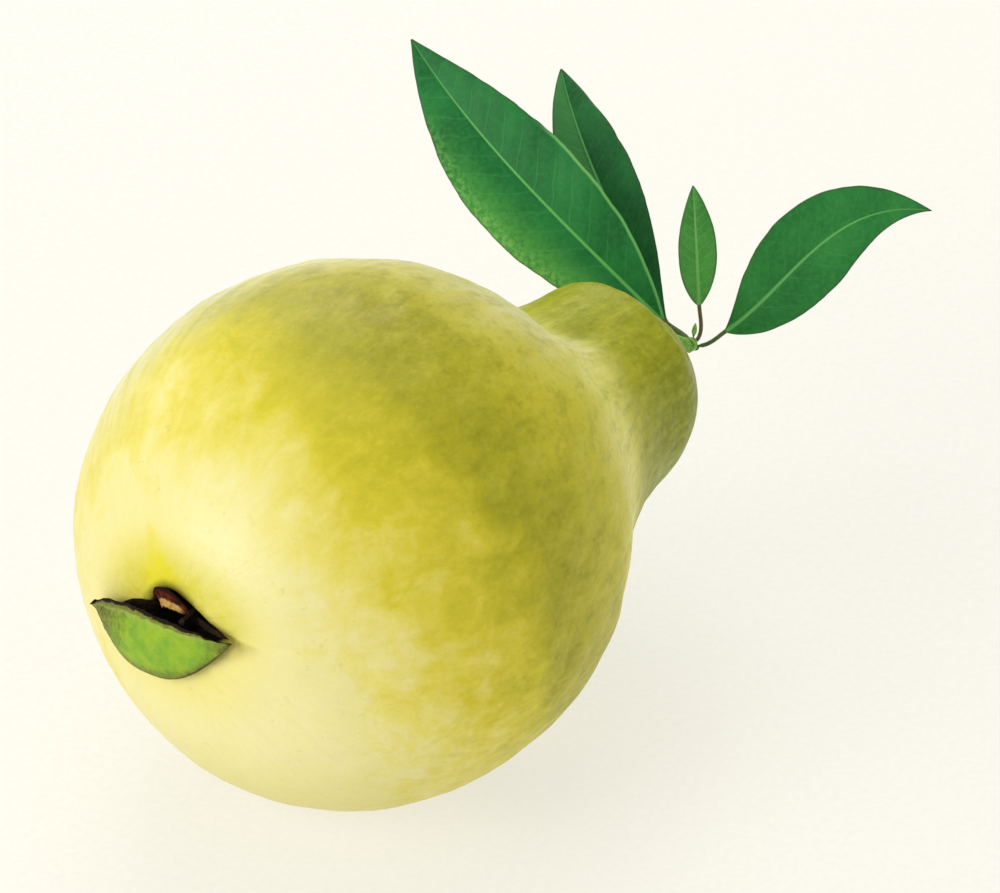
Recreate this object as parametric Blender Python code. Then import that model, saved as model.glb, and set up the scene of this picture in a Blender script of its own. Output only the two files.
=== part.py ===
"""Whole guava lying on its side, picked with its stalk, four leaves and the dried remains of its flower.

Lengths below are in millimetres and become metres when a mesh is made. +X runs from the flower end to the
stalk end, +Z is up, and the origin is the centre of the flat spot under the fruit.
"""

import math

import bpy
from mathutils import Vector

MM = 0.001

# Body and neck, as a profile turned about the fruit's axis. "Along" is measured from the body's centre.
BODY_RADIUS = 36.0
SHOULDER_REACH = 39.3
NECK_END = 65.5
NECK_RADIUS = 14.0
NECK_TAPER = 0.095
NECK_DOME = 12.9
NECK_BLEND = 8.0

# A knuckle near the neck's tip and the fall beyond it: height, place along, reach and facing angle.
NECK_WAVES = ((0.7, 56.0, 2.3, math.radians(80.0)), (-2.6, 60.2, 3.0, math.radians(110.0)))
NECK_WAVE_NARROWNESS = 6

# The shoulder between body and neck, steep where the crease is and easy all round from it.
NECK_CREASE_ANGLE = math.radians(50.0)
SHOULDER_SLOPE_CREASED = 2.2
SHOULDER_SLOPE_EASED = 0.71
SHOULDER_EASING = (0.02, 0.35)
LOBE_DEPTH = 0.006
LOBES = 5

# Pose of the fruit: a slight droop of the axis, a neck that bends back up, and a flower end set high.
AXIS_PITCH = math.radians(-4.5)
BEND_START = 18.3
BEND_RATE = 0.00196
TIP_SIDEWAYS = -1.0
TIP_SIDEWAYS_START = 45.0
TIP_CONE_HEIGHT = 2.5
TIP_CONE_RADIUS = 9.0
FLOWER_LIFT = 2.0
FLOWER_SIDEWAYS = -0.7
FLOWER_BEND_START = 8.0

# Flat spot under the fruit, and the sag of the underside beneath the heavier half.
CENTRE_HEIGHT = 34.5
CENTRE_X = -2.0
REST_BLEND = 0.4
SAG_DEPTH = 0.7
SAG_CENTRE = 8.0
SAG_REACH = 10.0

# Hollow left by the flower, in a shallow dimple: rounded at one side and drawn out to a corner at the other.
HOLLOW_DEPTH = 5.2
HOLLOW_FLOOR_ANGLE = math.radians(3.4)
HOLLOW_RIM_ANGLE = math.radians(8.4)
HOLLOW_WIDEN = (0.84, 1.78)
HOLLOW_HEIGHTEN = 0.81
HOLLOW_FULLNESS = (2.0, 1.2)
HOLLOW_SHAPE_FADE = math.radians(40.0)
DIMPLE_DEPTH = 0.9
DIMPLE_ANGLE = math.radians(20.0)

SKIN_AROUND = 48
FLOWER_STATIONS = 30
STALK_STATIONS = 32

# Stalk: from the neck's tip to the joint that the leaves grow from.
STALK_GAP = 0.3
PETIOLE_GAP = 0.5
STALK_JOINT = Vector((69.5, -2.9, 32.8))
STALK_TOP = Vector((69.85, -2.85, 34.0))
STALK_BASE_RADIUS = 1.5
STALK_WAIST_RADIUS = 0.9
STALK_JOINT_RADIUS = 1.0
BUD_HEIGHT = 1.7
BUD_RADIUS = 0.40

# A leaf: the way its petiole leaves the joint, the blade's base and tip, the way it faces, its half widths
# left and right of the midrib, how full each half is towards the base and the tip, its sideways bow and how
# far towards the tip that bow peaks, the arch of its midrib, the fold of its halves, and its petiole's radius.
LEAVES = {
    "leaf_large": dict(
        leaving=(0.58, 0.80, 0.12),
        base=(70.8, 3.3, 34.5),
        tip=(69.0, 47.1, 66.1),
        face=(-0.70, -0.48, 0.53),
        widths=(8.3, 7.4),
        fullness=((0.97, 1.10), (0.96, 1.04)),
        bow=1.7,
        late=0.8,
        arch=3.2,
        fold=0.16,
        petiole=0.5,
    ),
    "leaf_rear": dict(
        leaving=(0.88, 0.18, -0.44),
        base=(72.8, 4.4, 33.4),
        tip=(86.3, 33.5, 59.0),
        face=(-0.66, -0.50, 0.56),
        widths=(4.7, 5.1),
        fullness=((0.95, 0.95), (1.20, 1.00)),
        bow=1.3,
        late=0.8,
        arch=2.0,
        fold=0.14,
        petiole=0.45,
    ),
    "leaf_small": dict(
        leaving=(0.87, -0.02, 0.49),
        base=(72.6, -1.8, 37.9),
        tip=(76.8, 2.8, 53.6),
        face=(-0.68, -0.54, 0.50),
        widths=(2.4, 2.7),
        fullness=((0.78, 1.00), (0.88, 0.95)),
        bow=0.0,
        late=0.8,
        arch=0.7,
        fold=0.10,
        petiole=0.28,
    ),
    "leaf_right": dict(
        leaving=(0.62, -0.76, 0.20),
        base=(72.9, -6.3, 35.1),
        tip=(94.9, -25.4, 51.3),
        face=(-0.62, -0.60, 0.51),
        widths=(6.3, 5.6),
        fullness=((1.15, 1.15), (0.90, 1.28)),
        bow=3.9,
        late=1.6,
        arch=2.6,
        fold=0.10,
        petiole=0.30,
    ),
}
LEAF_AROUND = 18
PETIOLE_STATIONS = 6
BLADE_STATIONS = 20
BLADE_HALF_THICKNESS = 0.22
RIB_DEPTH = 0.32
RIB_RADIUS = 0.7
PETIOLE_MERGE = 0.09

# Sepal folded over the lower side of the hollow: its middle, half length, height and stand-off from the skin.
SEPAL_MIDDLE = -1.85
SEPAL_HALF_LENGTH = 11.55
SEPAL_DROP = 7.56
SEPAL_FULLNESS = (3.5, 2.1)
SEPAL_RIM_RISE = 2.3
SEPAL_RIM_LEAN = 0.6
SEPAL_TILT = 1.1
SEPAL_LINE = -1.05
SEPAL_GAP = 0.32
SEPAL_RIGHT_LIFT = 0.2
SEPAL_LEFT_LIFT = 0.85
SEPAL_BULGE = 0.8
SEPAL_THICKNESS = 0.8

# Dried sepals: a curved path in side, up and out millimetres at the hollow, half width and half thickness.
DRIED_SEPALS = {
    "sepal_dry_top": (((-1.6, 1.3, -1.5), (-3.3, 3.2, 0.6), (1.2, 4.3, 1.8), (3.4, 1.9, 0.4)), 1.5, 0.5),
    "sepal_dry_left": (((-2.7, 0.5, -1.5), (-4.0, 1.2, 0.6), (-6.2, 0.2, 0.8), (-8.5, -1.1, 0.9)), 0.75, 0.34),
    "sepal_dry_right": (((3.4, 1.0, -1.2), (5.0, 1.6, 0.3), (7.2, 0.9, 0.8), (9.2, 0.5, 0.7)), 0.42, 0.3),
}

COLORS = {
    "skin": (0.72, 0.66, 0.11, 1.0),
    "stalk": (0.20, 0.38, 0.09, 1.0),
    "leaf": (0.02, 0.16, 0.05, 1.0),
    "young_leaf": (0.07, 0.27, 0.06, 1.0),
    "sepal_green": (0.31, 0.50, 0.06, 1.0),
    "sepal_dry": (0.11, 0.04, 0.02, 1.0),
    "style_dry": (0.05, 0.03, 0.02, 1.0),
}


def smooth_max(a, b, blend):
    """The larger of a and b, with the corner between them rounded."""
    share = max(blend - abs(a - b), 0.0) / blend
    return max(a, b) + share * share * blend / 4.0


def smooth_step(low, high, x):
    t = min(max((x - low) / (high - low), 0.0), 1.0)
    return t * t * (3.0 - 2.0 * t)


def mix(a, b, t):
    return a + (b - a) * t


def material(slot, roughness):
    made = bpy.data.materials.new(slot)
    made.use_nodes = True
    shader = made.node_tree.nodes["Principled BSDF"]
    shader.inputs["Base Color"].default_value = COLORS[slot]
    shader.inputs["Roughness"].default_value = roughness
    made.diffuse_color = COLORS[slot]
    return made


def signed_volume(points, faces):
    total = 0.0
    for face in faces:
        first = points[face[0]]
        for second, third in zip(face[1:-1], face[2:]):
            total += first.dot(points[second].cross(points[third]))
    return total / 6.0


def loft(name, rings, start, end, coat):
    """A closed, smooth-shaded body through equal rings of points, with one point closing each end."""
    count = len(rings[0])
    points = [start] + [point for ring in rings for point in ring] + [end]
    last = len(points) - 1
    faces = []
    for i in range(count):
        j = (i + 1) % count
        faces.append((0, 1 + j, 1 + i))
        for ring in range(len(rings) - 1):
            here = 1 + ring * count
            there = here + count
            faces.append((here + i, here + j, there + j, there + i))
        here = 1 + (len(rings) - 1) * count
        faces.append((here + i, here + j, last))
    if signed_volume(points, faces) < 0.0:
        faces = [tuple(reversed(face)) for face in faces]
    mesh = bpy.data.meshes.new(name)
    mesh.from_pydata([point * MM for point in points], [], faces)
    mesh.shade_smooth()
    mesh.materials.append(coat)
    made = bpy.data.objects.new(name, mesh)
    bpy.context.scene.collection.objects.link(made)
    return made


def place(along, across, up):
    """From the fruit's own straight axes to where it lies, before the flat spot is pressed in."""
    bent = max(along - BEND_START, 0.0)
    tip = max(along - TIP_SIDEWAYS_START, 0.0) / (NECK_END - TIP_SIDEWAYS_START)
    flower = max(-along - FLOWER_BEND_START, 0.0) / (BODY_RADIUS - FLOWER_BEND_START)
    up += BEND_RATE * bent * bent + FLOWER_LIFT * flower * flower
    across += TIP_SIDEWAYS * tip * tip + FLOWER_SIDEWAYS * flower * flower
    x = along * math.cos(AXIS_PITCH) - up * math.sin(AXIS_PITCH)
    z = along * math.sin(AXIS_PITCH) + up * math.cos(AXIS_PITCH)
    return Vector((x + CENTRE_X, across, z + CENTRE_HEIGHT))


def press_flat(point):
    """Sags the underside a little and presses the flat spot into it."""
    x, y, z = point
    if z < CENTRE_HEIGHT:
        far = ((x - SAG_CENTRE - CENTRE_X) ** 2 + y * y) / SAG_REACH**2
        z -= SAG_DEPTH * math.exp(-far)
    return Vector((x, y, smooth_max(z, 0.0, REST_BLEND)))


def neck_side_radius(along, angle):
    """The radius from the body's widest point to the tip of the neck.

    On the creased side the shoulder is steepest. Near the top the neck swells a little, then drops to its tip.
    """
    from_crease = 0.5 - 0.5 * math.cos(angle - NECK_CREASE_ANGLE)
    slope = mix(SHOULDER_SLOPE_CREASED, SHOULDER_SLOPE_EASED, smooth_step(*SHOULDER_EASING, from_crease))
    turning = slope / math.hypot(slope, BODY_RADIUS / SHOULDER_REACH)
    body = BODY_RADIUS * math.sqrt(1.0 - min(along / SHOULDER_REACH, turning) ** 2)
    body -= slope * max(along - SHOULDER_REACH * turning, 0.0)
    dome_start = NECK_END - NECK_DOME
    into_dome = max(along - dome_start, 0.0) / NECK_DOME
    neck = NECK_RADIUS + NECK_TAPER * min(NECK_END - along, 40.0)
    for height, at, reach, facing in NECK_WAVES:
        toward = 0.5 + 0.5 * math.cos(angle - facing)
        neck += height * math.exp(-(((along - at) / reach) ** 2)) * toward**NECK_WAVE_NARROWNESS
    neck *= math.sqrt(max(1.0 - into_dome**2, 0.0))
    joined = smooth_max(body, neck, NECK_BLEND)
    if along > dome_start:
        return mix(neck, joined, min((NECK_END - along) / 6.0, 1.0))
    return joined


def lobes(radius, angle):
    """Faint lengthwise swellings, which fade out at both ends."""
    return radius * (1.0 + LOBE_DEPTH * smooth_step(12.0, 34.0, radius) * math.cos(LOBES * angle + 0.6))


def skin_from_flower(turn, angle):
    """A skin point on the flower's half, turn radians away from the hollow's centre."""
    half = 0 if math.cos(angle) > 0.0 else 1
    power = HOLLOW_FULLNESS[half]
    stretch = (abs(math.cos(angle)) / HOLLOW_WIDEN[half]) ** power
    stretch = (stretch + (abs(math.sin(angle)) / HOLLOW_HEIGHTEN) ** power) ** (-1.0 / power)
    opened = turn * mix(stretch, 1.0, smooth_step(0.0, HOLLOW_SHAPE_FADE, turn))
    radius = lobes(BODY_RADIUS * math.sin(opened), angle)
    along = -BODY_RADIUS * math.cos(opened)
    along += DIMPLE_DEPTH * (1.0 - smooth_step(0.0, DIMPLE_ANGLE, turn))
    along += HOLLOW_DEPTH * (1.0 - smooth_step(HOLLOW_FLOOR_ANGLE, HOLLOW_RIM_ANGLE, turn))
    return press_flat(place(along, radius * math.cos(angle), radius * math.sin(angle)))


def skin_to_stalk(along, angle):
    """A skin point on the neck's half, with a low cone at the tip for the stalk."""
    radius = lobes(neck_side_radius(along, angle), angle)
    if along > NECK_END - NECK_DOME:
        along += TIP_CONE_HEIGHT * (1.0 - smooth_step(0.0, TIP_CONE_RADIUS, radius))
    return press_flat(place(along, radius * math.cos(angle), radius * math.sin(angle)))


def make_fruit(coat):
    angles = [2.0 * math.pi * i / SKIN_AROUND for i in range(SKIN_AROUND)]
    rings = []
    for station in range(1, FLOWER_STATIONS + 1):
        turn = 0.5 * math.pi * (station / FLOWER_STATIONS) ** 1.6
        rings.append([skin_from_flower(turn, angle) for angle in angles])
    for station in range(1, STALK_STATIONS):
        along = NECK_END * (1.0 - (1.0 - station / STALK_STATIONS) ** 1.8)
        rings.append([skin_to_stalk(along, angle) for angle in angles])
    loft("fruit", rings, skin_from_flower(0.0, 0.0), skin_to_stalk(NECK_END, 0.0), coat)


def around(centre, direction, reference, radius, count):
    """A ring of points about centre, square to direction."""
    side = reference.cross(direction).normalized()
    other = direction.cross(side).normalized()
    ring = []
    for i in range(count):
        angle = 2.0 * math.pi * i / count
        ring.append(centre + radius * (math.cos(angle) * side + math.sin(angle) * other))
    return ring


def make_stalk(coat):
    """A short curved stalk that widens onto the neck, swells at the joint and ends blunt."""
    tip = skin_to_stalk(NECK_END, 0.0)
    outward = (place(NECK_END, 0.0, 0.0) - place(NECK_END - 4.0, 0.0, 0.0)).normalized()
    start = tip + (STALK_GAP + 0.25) * outward
    bend = tip + 2.0 * outward
    rings = []
    stations = 12
    for station in range(stations + 1):
        t = station / stations
        if t < 0.6:
            u = t / 0.6
            centre = mix(mix(start, bend, u), mix(bend, STALK_JOINT, u), u)
            direction = mix(bend - start, STALK_JOINT - bend, u).normalized()
        else:
            u = (t - 0.6) / 0.4
            centre = mix(STALK_JOINT, STALK_TOP, u)
            direction = mix((STALK_JOINT - bend).normalized(), (STALK_TOP - STALK_JOINT).normalized(), u)
        radius = mix(STALK_BASE_RADIUS, STALK_WAIST_RADIUS, smooth_step(0.0, 0.35, t))
        radius = mix(radius, STALK_JOINT_RADIUS, smooth_step(0.35, 0.65, t))
        radius *= math.sqrt(1.0 - 0.75 * smooth_step(0.78, 1.0, t))
        rings.append(around(centre, direction.normalized(), Vector((0.0, 1.0, 0.0)), radius, 16))
    loft("stalk", rings, start - 0.1 * outward, STALK_TOP + 0.25 * (STALK_TOP - STALK_JOINT).normalized(), coat)


def make_bud(coat):
    """The pointed resting bud on top of the joint."""
    up = (STALK_TOP - STALK_JOINT).normalized()
    base = STALK_TOP + 0.6 * up
    rings = []
    for station in range(1, 8):
        t = station / 8
        radius = BUD_RADIUS * math.sqrt(math.sin(math.pi * t**0.7)) * (1.0 - 0.35 * t)
        rings.append(around(base + BUD_HEIGHT * t * up, up, Vector((0.0, 1.0, 0.0)), radius, 12))
    loft("bud", rings, base, base + BUD_HEIGHT * up, coat)


def bezier(a, b, c, d, t):
    return (1 - t) ** 3 * a + 3 * (1 - t) ** 2 * t * b + 3 * (1 - t) * t**2 * c + t**3 * d


def blade_half_width(width, fullness, t):
    """Half width at t along the blade: a lens whose two exponents set how full it is at base and tip."""
    base, tip = fullness
    peak = base / (base + tip)
    t = min(max(t, 0.0), 1.0)
    return width * (t / peak) ** base * ((1.0 - t) / (1.0 - peak)) ** tip


def blade_point(leaf, t):
    """The midrib at t along the blade, bowed to the left and arched towards the face."""
    base = Vector(leaf["base"])
    chord = Vector(leaf["tip"]) - base
    face = Vector(leaf["face"]).normalized()
    left = face.cross(chord).normalized()
    up = chord.cross(left).normalized()
    bow = leaf["bow"] * 4.0 * t * (1.0 - t) * (0.95 + leaf["late"] * (t - 0.5))
    arch = leaf["arch"] * 4.0 * t * (1.0 - t)
    return base + t * chord + bow * left + arch * up


def leaf_centres(leaf):
    """(point, t along the blade) from the joint to the tip. t is negative along the petiole."""
    start_slope = (blade_point(leaf, 0.02) - blade_point(leaf, 0.0)).normalized()
    base = Vector(leaf["base"])
    leaving = Vector(leaf["leaving"]).normalized()
    root = STALK_JOINT + (STALK_JOINT_RADIUS + PETIOLE_GAP) * leaving
    reach = (base - root).length
    centres = []
    for station in range(PETIOLE_STATIONS):
        u = station / PETIOLE_STATIONS
        point = bezier(root, root + reach * 0.35 * leaving, base - reach * 0.35 * start_slope, base, u)
        centres.append((point, u - 1.0))
    for station in range(BLADE_STATIONS + 1):
        u = station / BLADE_STATIONS
        t = 0.5 * (1.0 - math.cos(math.pi * u)) * 0.7 + 0.3 * u
        centres.append((blade_point(leaf, t), t))
    return centres


def leaf_section(leaf, t, count):
    """Offsets (left, up) around the section: a disc along the petiole, a ribbed blade beyond it."""
    flat = smooth_step(-0.25, PETIOLE_MERGE, t)
    stem = leaf["petiole"] * (1.0 - 0.75 * smooth_step(0.0, 1.0, t))
    section = []
    for i in range(count):
        angle = 2.0 * math.pi * i / count
        v = math.cos(angle)
        side = 0 if v > 0.0 else 1
        half = stem + blade_half_width(leaf["widths"][side], leaf["fullness"][side], max(t, 0.0))
        x = v * half
        blade = BLADE_HALF_THICKNESS * math.sqrt(max(1.0 - v**4, 0.0))
        rib = RIB_DEPTH * math.exp(-((x / RIB_RADIUS) ** 2)) * (1.0 - max(t, 0.0))
        rise = leaf["fold"] * abs(x) * flat
        if math.sin(angle) >= 0.0:
            height = mix(stem * math.sqrt(1.0 - v * v), blade, flat)
        else:
            height = -mix(stem * math.sqrt(1.0 - v * v), blade + rib, flat)
        section.append((x, rise + height))
    return section


def make_leaf(name, leaf, coat):
    centres = leaf_centres(leaf)
    face = Vector(leaf["face"]).normalized()
    rings = []
    for i, (centre, t) in enumerate(centres[:-1]):
        before = centres[max(i - 1, 0)][0]
        along = (centres[i + 1][0] - before).normalized()
        left = face.cross(along).normalized()
        up = along.cross(left).normalized()
        rings.append([centre + x * left + z * up for x, z in leaf_section(leaf, t, LEAF_AROUND)])
    return loft(name, rings, centres[0][0], centres[-1][0], coat)


def hollow_frame():
    """The hollow's mouth: its centre on the body's sphere, then the sideways, upward and outward directions."""
    centre = place(-BODY_RADIUS, 0.0, 0.0)
    outward = (centre - place(0.0, 0.0, 0.0)).normalized()
    side = Vector((0.0, 0.0, 1.0)).cross(outward).normalized()
    return centre, side, outward.cross(side).normalized(), outward


def at_hollow(side, up, out):
    """A point given sideways and upward from the hollow's centre, out millimetres above the round body."""
    centre, side_axis, up_axis, out_axis = hollow_frame()
    drop = BODY_RADIUS - math.sqrt(BODY_RADIUS**2 - side * side - up * up)
    return centre + side * side_axis + up * up_axis + (out - drop) * out_axis


def sepal_ring(u, count):
    """One cross-section of the green sepal, from its lower edge over the front to the rim and back."""
    line = SEPAL_LINE + SEPAL_TILT * u
    rim = line + SEPAL_RIM_RISE * (1.0 - u * u) * (1.0 - SEPAL_RIM_LEAN * u)
    low = line - SEPAL_DROP * (1.0 - abs(u) ** SEPAL_FULLNESS[0 if u < 0.0 else 1])
    rim_out = SEPAL_GAP + SEPAL_RIGHT_LIFT + SEPAL_LEFT_LIFT * (1.0 - u)
    thick = SEPAL_THICKNESS * math.sqrt(max(1.0 - u * u, 0.0)) + 0.12
    ring = []
    for i in range(count):
        angle = 2.0 * math.pi * i / count
        v = 0.5 + 0.5 * math.cos(angle)
        out = mix(SEPAL_GAP, rim_out, v**1.2) + SEPAL_BULGE * 4.0 * v * (1.0 - v) * (1.0 - u * u)
        out += 0.5 * thick + 0.5 * thick * math.sin(angle)
        ring.append(at_hollow(SEPAL_MIDDLE + SEPAL_HALF_LENGTH * u, mix(low, rim, v), out))
    return ring


def make_sepal(coat):
    stations = [-math.cos(math.pi * i / 18) for i in range(1, 18)]
    rings = [sepal_ring(u, 18) for u in stations]
    ends = []
    for u in (-1.0, 1.0):
        ring = sepal_ring(u, 18)
        ends.append(sum(ring, Vector()) / len(ring))
    loft("sepal_green", rings, ends[0], ends[1], coat)


def make_flake(name, path, half_width, half_thickness, coat):
    """A dried sepal: a curled tongue along path, in side, up and out millimetres at the hollow."""
    points = [at_hollow(*point) for point in path]
    steps = 10
    centres = []
    for i in range(steps + 1):
        centres.append(bezier(points[0], points[1], points[2], points[3], i / steps))
    outward = hollow_frame()[3]
    rings = []
    for i in range(1, steps):
        t = i / steps
        along = (centres[i + 1] - centres[i - 1]).normalized()
        across = along.cross(outward).normalized()
        up = across.cross(along).normalized()
        width = half_width * math.sin(math.pi * t**0.8) ** 0.6
        thick = half_thickness * math.sin(math.pi * t) ** 0.5
        ring = []
        for k in range(12):
            angle = 2.0 * math.pi * k / 12
            cup = 0.35 * thick * math.cos(2.0 * angle)
            ring.append(centres[i] + width * math.cos(angle) * across + (thick * math.sin(angle) + cup) * up)
        rings.append(ring)
    loft(name, rings, centres[0], centres[-1], coat)


def make_style(coat):
    """The dried style, a thin bent pin that stands on the floor of the hollow."""
    floor = skin_from_flower(0.0, 0.0)
    _, side, up, outward = hollow_frame()
    rings = []
    for i in range(9):
        t = i / 8
        centre = floor + (0.6 + 2.4 * t) * outward - 1.2 * t * t * up - 0.4 * t * t * side
        radius = 0.5 - 0.22 * t + 0.18 * smooth_step(0.8, 1.0, t)
        rings.append(around(centre, outward, Vector((0.0, 1.0, 0.0)), radius, 10))
    top = sum(rings[-1], Vector()) / 10 + 0.15 * outward
    loft("style_dry", rings, floor + 0.45 * outward, top, coat)


def clear_scene():
    for item in list(bpy.data.objects):
        bpy.data.objects.remove(item, do_unlink=True)


def build():
    clear_scene()
    make_fruit(material("skin", 0.38))
    stalk = material("stalk", 0.55)
    make_stalk(stalk)
    make_bud(stalk)
    green = material("leaf", 0.35)
    young = material("young_leaf", 0.45)
    for name, leaf in LEAVES.items():
        make_leaf(name, leaf, young if name == "leaf_small" else green)
    make_sepal(material("sepal_green", 0.5))
    dry = material("sepal_dry", 0.75)
    for name, (path, half_width, half_thickness) in DRIED_SEPALS.items():
        make_flake(name, path, half_width, half_thickness, dry)
    make_style(material("style_dry", 0.8))


build()
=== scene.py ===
"""Looks of the guava: a finer skin, leaves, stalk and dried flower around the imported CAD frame.

Shapes follow the rules the CAD solids were made with, in millimetres, and are then fitted to each
CAD node's box.
"""

from math import cos, pi, radians, sin

import bpy
import numpy as np
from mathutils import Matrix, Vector


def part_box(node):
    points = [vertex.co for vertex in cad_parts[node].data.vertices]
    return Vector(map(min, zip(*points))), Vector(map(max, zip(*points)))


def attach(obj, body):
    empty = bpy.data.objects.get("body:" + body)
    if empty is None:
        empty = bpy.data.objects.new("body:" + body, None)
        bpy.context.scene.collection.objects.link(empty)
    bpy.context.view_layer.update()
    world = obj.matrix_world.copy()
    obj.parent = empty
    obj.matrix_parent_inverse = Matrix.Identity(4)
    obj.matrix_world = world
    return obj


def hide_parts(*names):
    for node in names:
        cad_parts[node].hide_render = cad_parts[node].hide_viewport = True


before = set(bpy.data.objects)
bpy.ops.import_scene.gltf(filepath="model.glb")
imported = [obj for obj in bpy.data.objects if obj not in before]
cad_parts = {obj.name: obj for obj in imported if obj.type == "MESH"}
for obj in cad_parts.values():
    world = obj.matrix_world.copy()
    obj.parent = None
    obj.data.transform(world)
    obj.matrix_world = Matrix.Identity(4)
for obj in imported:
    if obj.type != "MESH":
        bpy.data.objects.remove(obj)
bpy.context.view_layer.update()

MM = 0.001
TAU = 2.0 * pi

# ---- the fruit's rule, as the CAD solid has it
BODY_RADIUS = 36.0
SHOULDER_REACH = 39.3
NECK_END = 65.5
NECK_RADIUS = 14.0
NECK_TAPER = 0.095
NECK_DOME = 12.9
NECK_BLEND = 8.0
NECK_WAVES = ((0.7, 56.0, 2.3, radians(80.0)), (-2.6, 60.2, 3.0, radians(110.0)))
NECK_WAVE_NARROWNESS = 6
SHOULDER_SLOPE_CREASED = 2.2
SHOULDER_SLOPE_EASED = 0.71
SHOULDER_EASING = (0.02, 0.35)
NECK_CREASE_ANGLE = radians(50.0)
LOBE_DEPTH = 0.006
LOBES = 5
AXIS_PITCH = radians(-4.5)
BEND_START = 18.3
BEND_RATE = 0.00196
TIP_SIDEWAYS = -1.0
TIP_SIDEWAYS_START = 45.0
TIP_CONE_HEIGHT = 2.5
TIP_CONE_RADIUS = 9.0
FLOWER_LIFT = 2.0
FLOWER_SIDEWAYS = -0.7
FLOWER_BEND_START = 8.0
CENTRE_HEIGHT = 34.5
CENTRE_X = -2.0
REST_BLEND = 0.4
SAG_DEPTH = 0.7
SAG_CENTRE = 8.0
SAG_REACH = 10.0
HOLLOW_DEPTH = 5.2
HOLLOW_FLOOR_ANGLE = radians(3.4)
HOLLOW_RIM_ANGLE = radians(8.4)
HOLLOW_WIDEN = (0.84, 1.78)
HOLLOW_HEIGHTEN = 0.81
HOLLOW_FULLNESS = (2.0, 1.2)
HOLLOW_SHAPE_FADE = radians(40.0)
DIMPLE_DEPTH = 0.9
DIMPLE_ANGLE = radians(20.0)

SKIN_AROUND = 288
FLOWER_STATIONS = 176
STALK_STATIONS = 150

STALK_JOINT = np.array((69.5, -2.9, 32.8))
STALK_TOP = np.array((69.85, -2.85, 34.0))
STALK_BASE_RADIUS = 1.5
STALK_WAIST_RADIUS = 0.9
STALK_JOINT_RADIUS = 1.0
BUD_HEIGHT = 1.7
BUD_RADIUS = 0.4
STALK_GAP = 0.3
PETIOLE_GAP = 0.5

LEAF_STEM = (0.085, 0.16, 0.035)
LEAVES = {
    "leaf_large": dict(
        slot="leaf", seed=5, leaving=(0.58, 0.8, 0.12), base=(70.8, 3.3, 34.5), tip=(69.0, 47.1, 66.1),
        face=(-0.7, -0.48, 0.53), widths=(8.3, 7.4), fullness=((0.97, 1.1), (0.96, 1.04)), bow=1.7,
        late=0.8, arch=3.2, fold=0.16, petiole=0.5, veins=3.6,
        coat=dict(
            name="leaf_deep", deep=(0.005, 0.115, 0.024), bright=(0.012, 0.185, 0.038),
            vein=(0.13, 0.47, 0.11), stem=LEAF_STEM, painted_light_lower=0.75, lit=0.85,
        ),
    ),
    "leaf_rear": dict(
        slot="leaf", seed=6, leaving=(0.88, 0.18, -0.44), base=(72.8, 4.4, 33.4),
        tip=(86.3, 33.5, 59.0), face=(-0.66, -0.5, 0.56), widths=(4.7, 5.1),
        fullness=((0.95, 0.95), (1.2, 1.0)), bow=1.3, late=0.8, arch=2.0, fold=0.14, petiole=0.45,
        veins=3.0,
        coat=dict(
            name="leaf_shade", deep=(0.006, 0.095, 0.021), bright=(0.012, 0.15, 0.032),
            vein=(0.12, 0.42, 0.11), stem=LEAF_STEM, painted_light_left=0.5,
        ),
    ),
    "leaf_right": dict(
        slot="leaf", seed=8, leaving=(0.62, -0.76, 0.2), base=(72.9, -6.3, 35.1),
        tip=(94.9, -25.4, 51.3), face=(-0.62, -0.6, 0.51), widths=(6.3, 5.6),
        fullness=((1.15, 1.15), (0.9, 1.28)), bow=3.9, late=1.6, arch=2.6, fold=0.1, petiole=0.3,
        veins=2.8,
        coat=dict(
            name="leaf_mid", deep=(0.012, 0.15, 0.028), bright=(0.026, 0.22, 0.042),
            vein=(0.13, 0.45, 0.11), stem=LEAF_STEM,
        ),
    ),
    "leaf_small": dict(
        slot="young_leaf", seed=9, leaving=(0.87, -0.02, 0.49), base=(72.6, -1.8, 37.9),
        tip=(76.8, 2.8, 53.6), face=(-0.68, -0.54, 0.5), widths=(2.4, 2.7),
        fullness=((0.78, 1.0), (0.88, 0.95)), bow=0.0, late=0.8, arch=0.7, fold=0.1, petiole=0.28,
        veins=1.5,
        coat=dict(
            name="leaf_young", deep=(0.035, 0.2, 0.032), bright=(0.06, 0.27, 0.045),
            vein=(0.16, 0.44, 0.11), stem=(0.16, 0.13, 0.06), veining=0.35,
        ),
    ),
}
LEAF_ACROSS = 56
PETIOLE_STATIONS = 24
BLADE_STATIONS = 150
BLADE_HALF_THICKNESS = 0.22
RIB_DEPTH = 0.32
RIB_RADIUS = 0.7
PETIOLE_MERGE = 0.09

SEPAL_MIDDLE = -1.85
SEPAL_HALF_LENGTH = 11.55
SEPAL_DROP = 7.56
SEPAL_FULLNESS = (3.5, 2.1)
SEPAL_RIM_RISE = 2.3
SEPAL_RIM_LEAN = 0.6
SEPAL_TILT = 1.1
SEPAL_LINE = -1.05
SEPAL_GAP = 0.32
SEPAL_RIGHT_LIFT = 0.2
SEPAL_LEFT_LIFT = 0.85
SEPAL_BULGE = 0.8
SEPAL_THICKNESS = 0.8

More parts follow.
